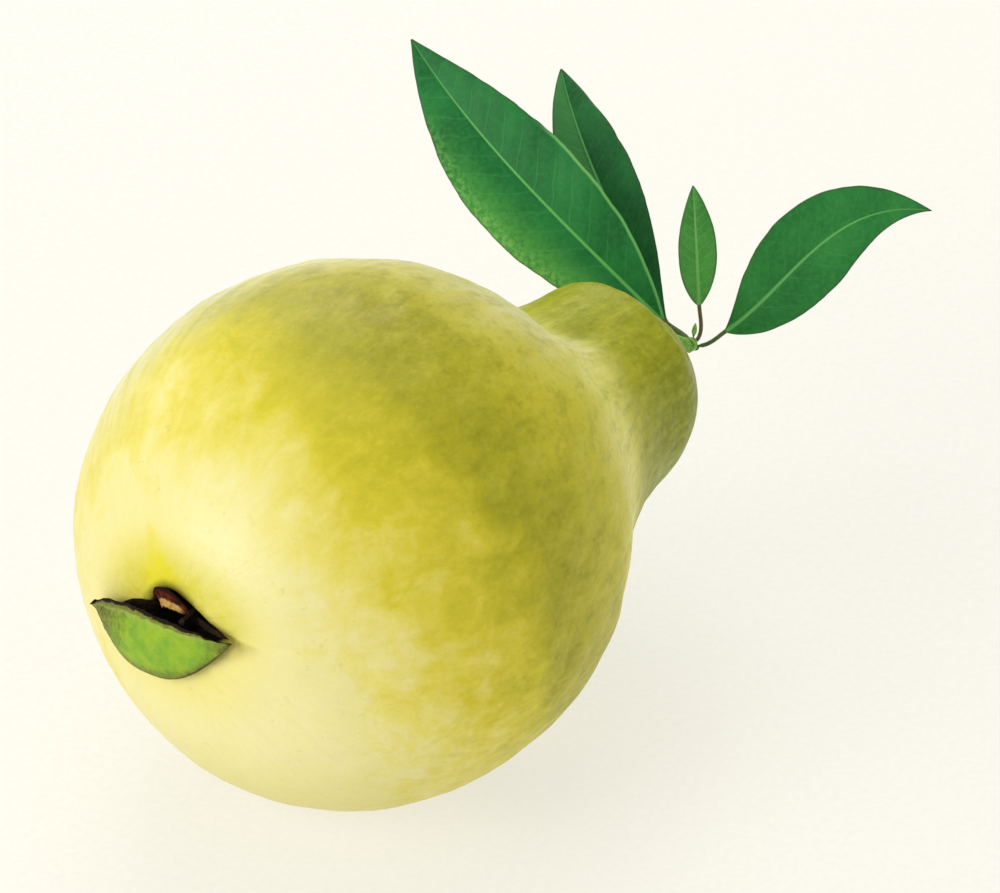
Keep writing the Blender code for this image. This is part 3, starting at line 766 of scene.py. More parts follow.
def skin_material():
    n = Nodes("guava_skin")
    here = n.place(1000.0)
    turned = n.vector("turned")
    along = n.value("along")
    blotch = n.noise(here, 0.06, 2.0, 0.5)
    patch = n.noise(here, 0.17, 4.0, 0.62, 0.5)
    strokes = n.noise(n.stretch(turned, (0.4, 0.4, 0.19)), 1.0, 5.0, 0.62, 0.5)
    fine = n.noise(here, 0.75, 5.0, 0.62)
    streaks = n.noise(n.stretch(turned, (0.9, 0.9, 0.09)), 1.0, 4.0, 0.6)
    flecks = n.noise(n.stretch(here, (0.8, 1.05, 1.05)), 1.0, 4.0, 0.62)
    clouds = n.noise(n.stretch(turned, (0.55, 0.55, 0.25)), 1.0, 3.0, 0.6)
    patch_fine = n.plus(patch, fine)
    patch_streaks = n.plus(patch, streaks)

    mottle = 0.0
    for source, reach in ((blotch, 16.0), (patch, 26.0), (strokes, 15.0), (fine, 7.0)):
        mottle = n.plus(mottle, n.swing(source, reach))
    mottle = n.times(mottle, n.span(along, -34.0, -12.0, 0.58, 1.0))
    ripe = n.plus(n.value("ripe"), mottle)
    width = SKIN_STOP - SKIN_START
    stops = [((at - SKIN_START) / width, color) for at, color in SKIN_STOPS]
    n.color = n.ramp(n.span(ripe, SKIN_START, SKIN_STOP, smooth=False), stops)

    on_body = n.span(along, 46.0, 24.0, 0.6, 1.0)
    n.paint(PALE_STREAK, n.span(streaks, 0.54, 0.78), n.span(along, -14.0, 20.0, 0.08, 0.34), on_body)
    # A paler collar where the body meets the neck, partly real colour and partly a painted sheen band
    # along the shoulder.
    n.paint(COLLAR_YELLOW_AND_SHEEN, n.value("collar_and_sheen"), n.span(patch_streaks, 0.75, 1.2, 0.42, 0.88))
    n.paint(DUSK_OLIVE, n.value("dusk"), n.span(patch, 0.35, 0.65, 0.65, 0.4))
    n.paint(DARK_STREAK, n.span(streaks, 0.46, 0.24), n.span(along, -26.0, 0.0, 0.03, 0.26), on_body)
    # Painted sheen: a grey-white wash, then a whiter core, towards the upper outline.
    n.paint(PAINTED_SHEEN_GREY, n.value("painted_sheen"), n.span(patch_streaks, 0.7, 1.25, 0.35, 1.0), 0.6)
    painted_sheen_core = n.math("POWER", n.value("painted_sheen"), 2.5)
    n.paint(PAINTED_SHEEN_WHITE, painted_sheen_core, n.span(streaks, 0.36, 0.64, 0.45, 1.0), 0.42)
    # Painted shade on the neck's lower side, turned away from the key lamp.
    n.paint(NECK_PAINTED_SHADE, n.value("painted_shade"), 0.52)
    n.paint(SPECK_OLIVE, n.span(fine, 0.4, 0.2, 0.0, 0.3))
    flecked = n.span(along, -24.0, 4.0, 0.1, 1.0)
    for source, share in ((flecks, 0.32), (clouds, 0.38)):
        n.paint(FLECK_SHADE, n.span(source, 0.5, 0.28, 0.0, share), flecked, mode="MULTIPLY")
        n.paint(FLECK_YELLOW, n.span(source, 0.5, 0.72, 0.0, 0.7 * share), flecked)
    n.paint(PORE_YELLOW, n.span(n.cells(here, 0.85), 0.08, 0.2, 1.0, 0.0), 0.1)

    n.paint(LOW_YELLOW, n.value("low"), 0.58)
    n.paint(GLOW_YELLOW, n.span(n.plus(n.value("far"), n.swing(patch, 8.0)), 18.0, 6.0), 0.7)
    # A painted pool of light on the pale flower side that faces the key lamp.
    n.paint(PAINTED_LIGHT_CREAM, n.value("painted_light_pool"), n.span(patch_fine, 0.75, 1.2, 0.35, 0.85))
    n.paint(HALO_YELLOW, n.value("halo"), n.span(patch_fine, 0.75, 1.2, 0.65, 1.0), 0.92)
    n.paint(CREASE_YELLOW, n.value("crease"), n.span(fine, 0.3, 0.6, 0.55, 1.0), 0.95)
    scorch = n.times(n.value("scorch"), n.span(patch, 0.3, 0.6, 0.55, 1.0))
    n.paint(SCORCH_BROWN, n.math("POWER", scorch, 1.5))
    hollow = n.value("hollow")
    n.paint(MOUTH_BROWN, n.span(hollow, 0.005, 0.14))
    # Painted shade: deeper in, the hollow goes near black past the brown of its dried mouth.
    n.paint(HOLLOW_PAINTED_SHADE, n.span(n.plus(hollow, n.times(patch, 0.1)), 0.07, 0.22))

    rough = n.plus(n.span(fine, 0.3, 0.7, 0.36, 0.48), n.times(hollow, 0.4))
    normal = n.bump(n.noise(here, 1.6, 4.0, 0.6), 0.00022, 0.3)
    normal = n.bump(n.times(streaks, on_body), 0.00035, 0.3, normal)
    flesh = dict(Subsurface_Weight=0.06, Subsurface_Radius=(0.9, 0.7, 0.15), Subsurface_Scale=0.002)
    return n.finish(rough, normal, Specular_IOR_Level=0.15, **flesh)


# ---- the leaves
def bezier(a, b, c, d, t):
    return (1 - t) ** 3 * a + 3 * (1 - t) ** 2 * t * b + 3 * (1 - t) * t**2 * c + t**3 * d


def blade_half_width(width, fullness, t):
    base, tip = fullness
    peak = base / (base + tip)
    t = np.clip(t, 0.0, 1.0)
    return width * (t / peak) ** base * ((1.0 - t) / (1.0 - peak)) ** tip


def blade_point(leaf, t):
    base = np.array(leaf["base"])
    chord = np.array(leaf["tip"]) - base
    left = unit(np.cross(unit(leaf["face"]), chord))
    up = unit(np.cross(chord, left))
    t = np.asarray(t, float)[..., None]
    bow = leaf["bow"] * 4.0 * t * (1.0 - t) * (0.95 + leaf["late"] * (t - 0.5))
    arch = leaf["arch"] * 4.0 * t * (1.0 - t)
    return base + t * chord + bow * left + arch * up


def leaf_centres(leaf):
    """Points from the joint to the tip, and t along the blade, which is negative along the petiole."""
    slope = unit(blade_point(leaf, 0.02) - blade_point(leaf, 0.0))
    base = np.array(leaf["base"])
    leaving = unit(leaf["leaving"])
    root = STALK_JOINT + (STALK_JOINT_RADIUS + PETIOLE_GAP) * leaving
    reach = np.linalg.norm(base - root)
    u = (np.arange(PETIOLE_STATIONS) / PETIOLE_STATIONS)[:, None]
    petiole = bezier(root, root + reach * 0.35 * leaving, base - reach * 0.35 * slope, base, u)
    share = np.arange(BLADE_STATIONS + 1) / BLADE_STATIONS
    t = 0.5 * (1.0 - np.cos(pi * share)) * 0.7 + 0.3 * share
    return np.concatenate([petiole, blade_point(leaf, t)]), np.concatenate([u[:, 0] - 1.0, t])


def blade_relief(leaf, x, half, t, length):
    """Rise of the blade off its fold: quilting between side veins, a grooved midrib, a wavy margin."""
    edge = np.abs(x) / np.maximum(half, 1e-6)
    spacing = leaf["veins"]
    phase = (t * length - 0.75 * np.abs(x) - 0.02 * x * x) / spacing
    quilt = 0.5 - 0.5 * np.cos(TAU * phase)
    shape = grow(0.05, 0.35, edge) * fade(0.75, 1.0, edge)
    rise = 0.013 * spacing * quilt * shape
    rise = rise - 0.1 * np.exp(-((x / 0.28) ** 2))
    seed = leaf["seed"]
    swing = noise(np.stack([t * length / 7.0, np.sign(x) * 2.0, 0.0 * t + seed], -1), seed, 2)
    return rise + 0.045 * half * swing * edge**2.5


def make_leaf(name, leaf, coat):
    seed = leaf["seed"]
    centres, t = leaf_centres(leaf)
    along = np.gradient(centres, axis=0)
    left = unit(np.cross(unit(leaf["face"]), along))
    up = unit(np.cross(along, left))
    across = -np.cos(pi * np.arange(LEAF_ACROSS + 1) / LEAF_ACROSS) * 0.55
    across = across + (-1.0 + 2.0 * np.arange(LEAF_ACROSS + 1) / LEAF_ACROSS) * 0.45
    v = np.concatenate([-across, across[1:-1]])
    front = np.concatenate([np.ones(LEAF_ACROSS + 1), -np.ones(LEAF_ACROSS - 1)])
    t_grid, v_grid = np.meshgrid(t, v, indexing="ij")
    front_grid = np.broadcast_to(front, t_grid.shape)
    flat = grow(-0.25, PETIOLE_MERGE, t_grid)
    stem = leaf["petiole"] * (1.0 - 0.75 * grow(0.0, 1.0, t_grid))
    blade_left = blade_half_width(leaf["widths"][0], leaf["fullness"][0], t_grid)
    blade_right = blade_half_width(leaf["widths"][1], leaf["fullness"][1], t_grid)
    half = stem + np.where(v_grid > 0.0, blade_left, blade_right)
    length = np.linalg.norm(np.array(leaf["tip"]) - np.array(leaf["base"]))
    margin = np.stack([t_grid * length / 3.4, np.sign(v_grid) * 3.0, 0.0 * t_grid + seed], -1)
    half = half * (1.0 + 0.03 * noise(margin, seed + 90, 3) * grow(0.04, 0.15, t_grid))
    x = v_grid * half
    thick = 0.75 * BLADE_HALF_THICKNESS * np.sqrt(np.maximum(1.0 - v_grid**4, 0.0))
    disc = stem * np.sqrt(np.maximum(1.0 - v_grid * v_grid, 0.0))
    rib = RIB_DEPTH * np.exp(-((x / (0.8 * RIB_RADIUS)) ** 2)) * (1.0 - np.clip(t_grid, 0.0, 1.0))
    height = np.where(front_grid > 0.0, mix(disc, thick, flat), -mix(disc, thick + rib, flat))
    rise = leaf["fold"] * np.abs(x) * flat
    plain = off_line(centres, left, up, x, rise + height)
    rise = rise + flat * blade_relief(leaf, x, half, t_grid, length)
    shaped = off_line(centres, left, up, x, rise + height)
    root = centres[0] - (PETIOLE_GAP + 0.6) * unit(leaf["leaving"])
    reach = np.where(t < 0.0, t * np.linalg.norm(np.array(leaf["base"]) - centres[0]), t * length)
    values = {
        "reach": (rows_of(reach, t_grid)[:-1], reach[0], length),
        "x": x[:-1],
        "edge": (np.abs(v_grid)[:-1], 0.0, 1.0),
        "half": (half[:-1], half[0, 0], 0.0),
        "front": (front_grid[:-1], 0.0, 1.0),
        "share": (rows_of(t, t_grid)[:-1], -1.0, 1.0),
    }
    body = (plain[:-1], shaped[:-1], root, centres[-1], values)
    add_piece(name + "_blade", name, leaf["slot"], coat, *body)


LEAF_PAINTED_LIGHT = (0.13, 0.45, 0.07)
LEAF_PAINTED_LIGHT_SPECKLE = (0.3, 0.58, 0.16)
LEAF_PAINTED_LIGHT_LEFT = (0.065, 0.31, 0.06)
LEAF_MARGIN = (0.045, 0.075, 0.02)
LEAF_LIT_EDGE = (0.16, 0.47, 0.13)
LEAF_TIP = (0.05, 0.045, 0.02)
LEAF_BACK = (0.16, 0.3, 0.12)


def leaf_material(name, deep, bright, vein, stem, spacing, painted_light_lower=0.0, lit=0.0, painted_light_left=0.0, veining=0.08):
    """A leaf's green. Three shares paint light: the first lightens the left side of the blade towards
    its lower edge, lit draws a bright margin on the right side towards the base as a painted highlight,
    and the last lightens the whole left half."""
    n = Nodes(name)
    here = n.place(1000.0)
    x, reach, half = n.value("x"), n.value("reach"), n.value("half")
    edge, share, front = n.value("edge"), n.value("share"), n.value("front")
    off = n.math("ABSOLUTE", x)
    from_margin = n.minus(half, off)
    leftward = n.math("DIVIDE", x, half)
    cloud = n.noise(here, 0.13, 3.0, 0.55)
    fine = n.noise(here, 1.4, 5.0, 0.65)
    n.color = n.blend(n.span(cloud, 0.3, 0.72), deep, bright)
    sheen = tuple(min(1.0, 1.9 * c + 0.01) for c in bright)
    n.paint(sheen, n.span(fine, 0.35, 0.75, 0.0, 0.22))

    lower = n.span(n.plus(fine, n.times(cloud, 0.5)), 0.5, 0.9, 0.55, 1.0)
    # Painted light on the left side of the blade towards its lower edge, speckled near the margin.
    n.paint(LEAF_PAINTED_LIGHT, lower, n.span(leftward, 0.15, 0.95), n.span(share, 0.95, 0.3), painted_light_lower)
    painted_light_speckle = n.times(n.span(fine, 0.42, 0.62), n.span(share, 0.86, 0.62), painted_light_lower)
    n.paint(LEAF_PAINTED_LIGHT_SPECKLE, painted_light_speckle, n.span(leftward, 0.66, 0.95), 0.55)
    # Painted light over the whole left half.
    n.paint(LEAF_PAINTED_LIGHT_LEFT, n.span(leftward, 0.02, 0.12), painted_light_left)

    slant = n.plus(n.times(off, 0.75), n.times(off, off, 0.02))
    wobble = n.swing(n.noise(here, 0.35, 2.0), 1.1)
    phase = n.math("DIVIDE", n.plus(n.minus(reach, slant), wobble), spacing)
    line = n.math("ABSOLUTE", n.minus(n.math("FRACT", phase), 0.5))
    veins = n.times(n.span(line, 0.415, 0.495), n.span(edge, 0.92, 0.55), n.span(share, 0.02, 0.12))
    net = n.times(n.span(n.cells(here, 1.5, "DISTANCE_TO_EDGE"), 0.0, 0.09, 1.0, 0.0), 0.35)
    n.paint(vein, veins, veining)
    n.paint(vein, net, 0.8 * veining)
    rib_width = n.span(share, 0.0, 1.0, 0.36, 0.1, smooth=False)
    rib = n.span(n.math("DIVIDE", off, rib_width), 0.45, 1.0, 1.0, 0.0)
    n.paint(vein, rib, n.span(share, 0.65, 1.0, 0.9, 0.45))

    n.paint(LEAF_MARGIN, n.span(from_margin, 0.1, 0.34, 1.0, 0.0), 0.55)
    lit_edge = n.times(n.span(from_margin, 0.58, 0.3), n.span(x, 0.0, -0.3))
    n.paint(LEAF_LIT_EDGE, lit_edge, n.span(share, 0.62, 0.5), lit)
    n.paint(LEAF_TIP, n.span(share, 0.975, 1.0), 0.8)
    back = n.span(front, 0.2, -0.2)
    n.color = n.blend(back, n.color, n.blend(0.55, n.color, LEAF_BACK))
    bark = n.blend(n.span(n.noise(here, 2.2, 3.0), 0.35, 0.7), stem, tuple(0.6 * c for c in stem))
    n.paint(bark, n.span(share, 0.015, -0.02))

    roughness = n.plus(n.span(fine, 0.3, 0.7, 0.42, 0.52), n.times(back, 0.2))
    normal = n.bump(n.plus(veins, n.times(net, 0.5)), 0.00005, 0.45)
    normal = n.bump(fine, 0.00006, 0.3, normal)
    return n.finish(roughness, normal, Specular_IOR_Level=0.22)


# ---- stalk, bud, sepals and style
def around(centres, directions, radii, count):
    """Rings of count points about each centre, square to its direction."""
    directions = np.broadcast_to(directions, centres.shape)
    side = unit(np.cross((0.0, 1.0, 0.0), directions))
    other = unit(np.cross(directions, side))
    angle = full_turn(count)
    radii = np.broadcast_to(radii, (len(centres),))[:, None]
    return off_line(centres, side, other, radii * np.cos(angle), radii * np.sin(angle))


def make_stalk(coat):
    count, stations = 40, 70
    tip = skin_to_stalk(NECK_END, 0.0)[0]
    outward = unit(place(NECK_END, 0.0, 0.0) - place(NECK_END - 4.0, 0.0, 0.0))
    start = tip + (STALK_GAP + 0.25) * outward
    bend = tip + 2.0 * outward
    t = np.arange(stations + 1) / stations
    low, high = np.minimum(t / 0.6, 1.0)[:, None], np.maximum((t - 0.6) / 0.4, 0.0)[:, None]
    lower = mix(mix(start, bend, low), mix(bend, STALK_JOINT, low), low)
    centres = np.where(t[:, None] < 0.6, lower, mix(STALK_JOINT, STALK_TOP, high))
    into, out = unit(STALK_JOINT - bend), unit(STALK_TOP - STALK_JOINT)
    lower_way = unit(mix(bend - start, STALK_JOINT - bend, low))
    directions = np.where(t[:, None] < 0.6, lower_way, unit(mix(into, out, high)))
    radius = mix(STALK_BASE_RADIUS, STALK_WAIST_RADIUS, grow(0.0, 0.35, t))
    radius = mix(radius, STALK_JOINT_RADIUS, grow(0.35, 0.65, t))
    radius = radius * np.sqrt(1.0 - 0.75 * grow(0.78, 1.0, t))
    plain = around(centres, directions, radius, count)
    rough = 0.07 * noise(plain / 0.9, 41, 2) + 0.05 * noise(plain * (0.4, 1.6, 0.6), 43)
    rings = plain + (plain - centres[:, None]) * rough[..., None]
    foot = centres[0] - 0.75 * outward
    flare = around(foot[None], directions[:1], STALK_BASE_RADIUS * 1.12, count)
    rings = np.concatenate([flare, rings])
    top = STALK_TOP + 0.25 * out
    ends = np.concatenate([[0.0], t])
    values = {"share": (rows_of(ends, rings), 0.0, 1.0)}
    add_piece("stalk_wood", "stalk", "stalk", coat, plain, rings, foot - 0.3 * outward, top, values)


def make_bud(coat):
    up = unit(STALK_TOP - STALK_JOINT)
    base = STALK_TOP + 0.6 * up
    count, stations = 36, 40
    t = np.arange(1, stations) / stations
    radius = BUD_RADIUS * np.sqrt(np.sin(pi * t**0.7)) * (1.0 - 0.35 * t)
    centres = base + (BUD_HEIGHT * t)[:, None] * up
    plain = around(centres, up, radius, count)
    angle = full_turn(count)
    scales = 0.1 * np.cos(2.0 * angle[None] + 2.5 * t[:, None]) * np.sin(pi * t)[:, None]
    rings = centres[:, None] + (plain - centres[:, None]) * (1.0 + scales)[..., None]
    values = {"share": (rows_of(t, rings), 0.0, 1.0)}
    start, end = base - 0.7 * up, base + BUD_HEIGHT * up
    add_piece("bud_scales", "bud", "stalk", coat, plain, rings, start, end, values)


def stalk_material():
    n = Nodes("stalk_green")
    here = n.place(1000.0)
    share = n.value("share")
    fibre = n.noise(n.stretch(here, (1.0, 3.2, 1.2)), 1.0, 4.0, 0.6)
    n.color = n.blend(n.span(fibre, 0.35, 0.7), (0.16, 0.42, 0.055), (0.27, 0.54, 0.1))
    scars = n.span(n.noise(here, 1.5, 3.0, 0.6), 0.55, 0.68)
    n.paint((0.13, 0.16, 0.04), scars, 0.35)
    n.paint((0.13, 0.12, 0.03), n.span(share, 0.12, 0.0, 0.0, 0.7))
    n.paint((0.18, 0.16, 0.05), n.span(share, 0.9, 1.0, 0.0, 0.5))
    normal = n.bump(fibre, 0.00015, 0.5)
    return n.finish(n.span(fibre, 0.3, 0.7, 0.45, 0.6), normal, Specular_IOR_Level=0.35)


def sepal_sheet(u, v):
    """The green sepal's inner face: sideways, upward and out millimetres, and its thickness there."""
    line = SEPAL_LINE + SEPAL_TILT * u
    rim = line + SEPAL_RIM_RISE * (1.0 - u * u) * (1.0 - SEPAL_RIM_LEAN * u)
    fullness = np.where(u < 0.0, SEPAL_FULLNESS[0], SEPAL_FULLNESS[1])
    low = line - SEPAL_DROP * (1.0 - np.abs(u) ** fullness)
    rim_out = SEPAL_GAP + SEPAL_RIGHT_LIFT + SEPAL_LEFT_LIFT * (1.0 - u)
    out = mix(SEPAL_GAP, rim_out, v**1.2) + SEPAL_BULGE * 4.0 * v * (1.0 - v) * (1.0 - u * u)
    thick = SEPAL_THICKNESS * np.sqrt(np.maximum(1.0 - u * u, 0.0)) + 0.12
    return SEPAL_MIDDLE + SEPAL_HALF_LENGTH * u, mix(low, rim, v), out, thick


def make_green_sepal(coat):
    stations, count = 130, 84
    u = -np.cos(pi * np.arange(1, stations) / stations)
    angle = full_turn(count)
    u, angle = np.meshgrid(u, angle, indexing="ij")
    v = 0.5 + 0.5 * np.cos(angle)
    side, up, out, thick = sepal_sheet(u, v)
    out = out + 0.5 * thick + 0.5 * thick * np.sin(angle)
    plain = at_hollow(side, up, out)
    rim = grow(0.86, 1.0, v)
    tears = np.stack([side * 0.55, 0.0 * side, 0.0 * side + 3.0], -1)
    ragged = 0.24 * rim * grow(1.0, 0.8, np.abs(u)) * noise(tears, 51, 3)
    spots = np.stack([side / 1.1, up / 3.5, 0.0 * side], -1)
    wrinkle = 0.16 * noise(spots, 53, 2) + 0.09 * noise(spots * 2.7, 57, 2)
    wrinkle = wrinkle * grow(0.0, 0.12, v) * (np.sin(angle) > -0.2)
    curl = 0.3 * rim * grow(-0.95, -0.4, u)
    droop = 0.45 * grow(-0.7, -1.0, u)
    shaped = at_hollow(side, up + ragged - droop, out + wrinkle + curl)
    values = {"u": (u, -1.0, 1.0), "v": (v, 1.0, 1.0), "front": np.sin(angle)}
    body = (plain, shaped, plain[0].mean(axis=0), plain[-1].mean(axis=0), values)
    add_piece("sepal_green_lobe", "sepal_green", "sepal_green", coat, *body)


def green_sepal_material():
    n = Nodes("sepal_lime")
    here = n.place(1000.0)
    u, v = n.value("u"), n.value("v")
    cloud = n.noise(here, 0.3, 3.0, 0.6)
    fine = n.noise(here, 1.5, 5.0, 0.65)
    ragged = n.minus(n.noise(here, 0.9, 4.0, 0.65), 0.5)

    def frayed(place, reach):
        return n.plus(place, n.times(ragged, reach))

    n.color = n.blend(n.span(cloud, 0.35, 0.68), (0.3, 0.46, 0.03), (0.19, 0.38, 0.04))
    n.paint((0.4, 0.54, 0.08), n.span(fine, 0.45, 0.75, 0.0, 0.3))
    low = n.span(frayed(v, 0.22), 0.24, 0.02)
    left = n.span(frayed(n.minus(u, n.times(v, 0.22)), 0.8), -0.28, -0.88)
    right = n.span(frayed(u, 0.4), 0.62, 0.98)
    ends = n.math("MAXIMUM", left, right)
    olive = n.math("MAXIMUM", n.times(low, 0.75), n.times(ends, 0.85), clamp=True)
    strands = n.noise(n.stretch(here, (1.0, 3.5, 1.6)), 0.8, 4.0, 0.65)
    olive_tone = n.blend(n.span(strands, 0.38, 0.62), (0.2, 0.205, 0.045), (0.08, 0.068, 0.02))
    n.paint(olive_tone, olive)

    high = frayed(v, 0.14)
    n.paint((0.36, 0.42, 0.11), n.span(high, 0.82, 0.87), 0.35)
    n.paint((0.15, 0.15, 0.03), n.span(high, 0.875, 0.915), n.span(fine, 0.35, 0.65, 0.55, 1.0))
    n.paint((0.014, 0.009, 0.005), n.span(frayed(v, 0.1), 0.935, 0.965))
    tips = n.math("MAXIMUM", n.span(u, -0.93, -0.975), n.span(u, 0.94, 0.985))
    n.paint((0.045, 0.03, 0.012), tips)
    # Painted shadow: a dark line along the sepal's lower edge.
    n.paint((0.06, 0.045, 0.012), n.span(frayed(v, 0.05), 0.035, 0.005), 0.8)
    brown = n.times(n.span(u, 0.3, 0.5), n.span(fine, 0.35, 0.6, 0.5, 1.0))
    n.paint((0.085, 0.05, 0.014), brown, n.span(frayed(v, 0.07), 0.085, 0.03), 0.85)
    # Painted shade: the face turned to the skin is near black.
    n.paint((0.04, 0.028, 0.01), n.span(n.value("front"), -0.1, -0.4), 0.97)
    normal = n.bump(fine, 0.0003, 0.5)
    return n.finish(n.span(fine, 0.3, 0.7, 0.5, 0.65), normal, Specular_IOR_Level=0.07)


def make_dried_sepal(name, sepal, coat, seed):
    steps, count = 60, 48
    corners = [at_hollow(*point) for point in sepal["path"]]
    t = np.arange(steps + 1) / steps
    centres = bezier(*corners, t[:, None])
    along = unit(np.gradient(centres, axis=0))[1:-1]
    outward = hollow_frame()[3]
    across = unit(np.cross(along, outward))
    up = unit(np.cross(across, along))
    centres, t = centres[1:-1], t[1:-1]
    width = sepal["half_width"] * np.sin(pi * t**0.8) ** 0.6
    thick = sepal["half_thickness"] * np.sin(pi * t) ** 0.5
    angle = full_turn(count)
    lift = thick[:, None] * np.sin(angle) + 0.35 * thick[:, None] * np.cos(2.0 * angle)
    reach = width[:, None] * np.cos(angle)
    plain = off_line(centres, across, up, reach, lift)
    spots = np.stack([rows_of(t * 2.2, reach), reach * 1.7, 0.0 * reach + seed], -1)
    lift = lift + 0.42 * sepal["half_thickness"] * noise(spots, seed, 3)
    reach = reach * (1.0 + 0.16 * noise(spots * (3.0, 0.3, 1.0), seed + 5, 2))
    rings = off_line(centres, across, up, reach, lift)
    values = {"share": (rows_of(t, reach), 0.0, 1.0), "side": np.cos(angle) * np.ones_like(reach)}
    body = (plain, rings, corners[0], corners[3], values)
    add_piece(name + "_husk", name, "sepal_dry", coat, *body)


def dried_material(name, dark, light, flesh_share):
    """Dry husk. flesh_share shows that much of the tan flesh in a band along one side."""
    n = Nodes(name)
    here = n.place(1000.0)
    share, side = n.value("share"), n.value("side")
    fibre = n.noise(here, 1.3, 5.0, 0.65)
    torn = n.noise(here, 0.9, 4.0, 0.65)
    n.color = n.blend(n.span(fibre, 0.4, 0.72), dark, light)
    rind = n.span(n.math("ABSOLUTE", n.minus(side, -0.35)), 0.15, 0.5)
    n.paint((0.01, 0.006, 0.004), rind, flesh_share, 0.9)
    tan = n.blend(n.span(fibre, 0.35, 0.7), (0.56, 0.36, 0.11), (0.34, 0.15, 0.035))
    uneven = n.plus(side, n.swing(torn, 1.1))
    flesh = n.times(n.span(uneven, -0.15, 0.2), n.span(uneven, 0.95, 0.7))
    n.paint(tan, flesh, n.span(share, 0.04, 0.24), n.span(share, 0.97, 0.8), flesh_share)
    normal = n.bump(fibre, 0.0004, 0.6)
    return n.finish(n.span(fibre, 0.3, 0.7, 0.6, 0.85), normal, Specular_IOR_Level=0.05)


def make_style(coat):
    floor = skin_from_flower(0.0, 0.0)[0]
    _, side, up, outward = hollow_frame()
    t = np.arange(49) / 48
    rise, sag, drift = (0.6 + 2.4 * t)[:, None], (1.2 * t * t)[:, None], (0.4 * t * t)[:, None]
    centres = floor + rise * outward - sag * up - drift * side
    radius = 0.5 - 0.22 * t + 0.18 * grow(0.8, 1.0, t)
    plain = around(centres, outward, radius, 28)
    spokes = plain - centres[:, None]
    rings = plain + spokes * (0.28 * noise(plain / 0.5, 71, 2))[..., None]
    values = {"share": (rows_of(t, rings), 0.0, 1.0)}
    top = rings[-1].mean(axis=0) + 0.15 * outward
    body = (plain, rings, floor + 0.2 * outward, top, values)
    add_piece("style_pin", "style_dry", "style_dry", coat, *body)


def style_material():
    n = Nodes("style_brown")
    here = n.place(1000.0)
    fibre = n.noise(n.stretch(here, (1.0, 4.0, 4.0)), 1.0, 4.0, 0.6)
    n.color = n.blend(n.span(fibre, 0.35, 0.7), (0.02, 0.012, 0.008), (0.09, 0.05, 0.025))
    n.color = n.blend(n.span(n.value("share"), 0.85, 1.0, 0.0, 0.5), n.color, (0.14, 0.09, 0.05))
    return n.finish(0.75, n.bump(fibre, 0.0002, 0.6), Specular_IOR_Level=0.25)


# ---- studio
CAMERA_AZIMUTH = radians(-51.6)
CAMERA_ELEVATION = radians(30.0)
CAMERA_DISTANCE = 0.6534
CAMERA_LENS = 180.0
AIM_RIGHT = 0.0198
AIM_UP = 0.01175
FLOOR_HALF_WIDTH = 3.0


def camera_axes():
    right = Vector((cos(CAMERA_AZIMUTH), sin(CAMERA_AZIMUTH), 0.0))
    level = cos(CAMERA_ELEVATION)
    back = Vector((sin(CAMERA_AZIMUTH) * level, -cos(CAMERA_AZIMUTH) * level, sin(CAMERA_ELEVATION)))
    return right, back.cross(right), back


def body_centre():
    return Vector((CENTRE_X, 0.0, CENTRE_HEIGHT)) * MM


def make_camera():
    right, up, back = camera_axes()
    data = bpy.data.cameras.new("camera")
    data.lens = CAMERA_LENS
    data.sensor_width = 36.0
    data.clip_start = 0.01
    data.clip_end = 20.0
    camera = new_object("camera", data)
    camera.location = body_centre() + back * CAMERA_DISTANCE + right * AIM_RIGHT + up * AIM_UP
    camera.rotation_euler = back.to_track_quat("Z", "Y").to_euler()
    bpy.context.scene.camera = camera


def make_light(name, direction, distance, size, power, color):
    """A square soft light that faces the body from direction."""
    data = bpy.data.lights.new(name, "AREA")
    data.size = size
    data.energy = power
    data.color = color
    light = new_object(name, data)
    direction = Vector(direction).normalized()
    light.location = body_centre() + direction * distance
    light.rotation_euler = direction.to_track_quat("Z", "Y").to_euler()


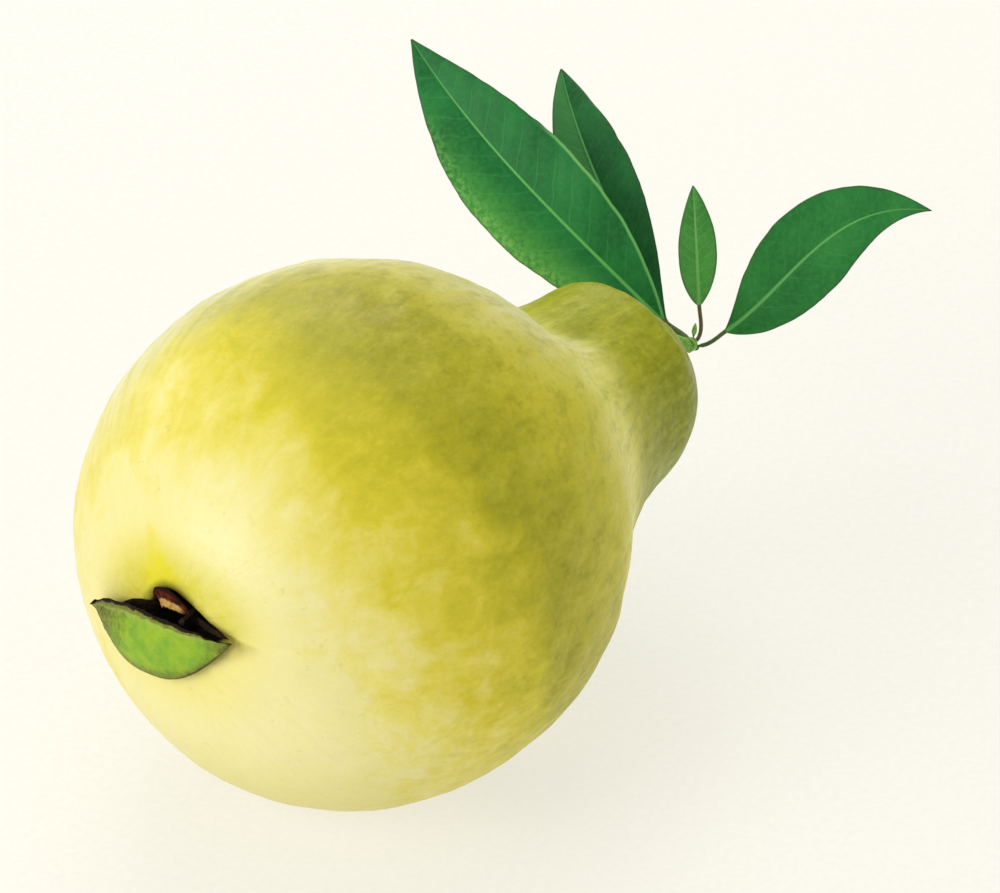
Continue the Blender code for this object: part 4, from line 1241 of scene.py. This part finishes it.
def make_floor():
    n = Nodes("floor_paper")
    grain = n.noise(n.place(1.0), 900.0, 2.0, 0.5)
    n.color = n.blend(n.span(grain, 0.3, 0.7), (0.255, 0.251, 0.232), (0.275, 0.271, 0.252))
    n.shader.inputs["Emission Color"].default_value = (1.0, 0.98, 0.895, 1.0)
    mesh = bpy.data.meshes.new("floor")
    half = FLOOR_HALF_WIDTH
    corners = [(-half, -half, 0.0), (half, -half, 0.0), (half, half, 0.0), (-half, half, 0.0)]
    mesh.from_pydata(corners, [], [(0, 1, 2, 3)])
    mesh.materials.append(n.finish(0.9, None, Specular_IOR_Level=0.1, Emission_Strength=0.69))
    floor = new_object("floor", mesh)


def make_studio():
    right, _, back = camera_axes()
    level = Vector((back.x, back.y, 0.0)).normalized()
    rise = Vector((0.0, 0.0, 1.0))
    make_light("key", -right * 0.9 + level * 0.65 + rise * 0.55, 0.9, 0.55, 4.6, (1.0, 0.985, 0.94))
    make_light("top", -level * 0.35 + rise, 0.9, 0.6, 2.0, (1.0, 1.0, 0.98))
    make_light("rim", -level * 0.9 - right * 0.15 + rise * 0.75, 1.0, 0.5, 3.2, (1.0, 1.0, 0.98))
    make_light("fill", right * 0.8 + level * 0.9 + rise * 0.4, 1.2, 0.7, 0.8, (1.0, 0.99, 0.96))
    world = bpy.data.worlds.new("studio")
    world.use_nodes = True
    background = world.node_tree.nodes["Background"]
    background.inputs["Color"].default_value = (1.0, 0.985, 0.94, 1.0)
    background.inputs["Strength"].default_value = 0.5
    bpy.context.scene.world = world
    make_floor()
    view = bpy.context.scene.view_settings
    view.view_transform = "Standard"
    view.look = "None"
    view.exposure = 0.0


def build():
    make_camera()
    make_studio()
    make_fruit(skin_material())
    wood = stalk_material()
    make_stalk(wood)
    make_bud(wood)
    for name, leaf in LEAVES.items():
        make_leaf(name, leaf, leaf_material(spacing=leaf["veins"], **leaf["coat"]))
    make_green_sepal(green_sepal_material())
    # The left and right dried pieces are near black: dried husk, and painted shade in the gaps beside
    # the hollow.
    husk = dried_material("husk_dry_and_shade", (0.01, 0.006, 0.004), (0.034, 0.018, 0.008), 0.0)
    flesh = dried_material("husk_flesh", (0.02, 0.006, 0.004), (0.15, 0.022, 0.01), 1.0)
    for seed, (name, sepal) in enumerate(DRIED_SEPALS.items(), 60):
        make_dried_sepal(name, sepal, flesh if name == "sepal_dry_top" else husk, seed)
    make_style(style_material())


build()
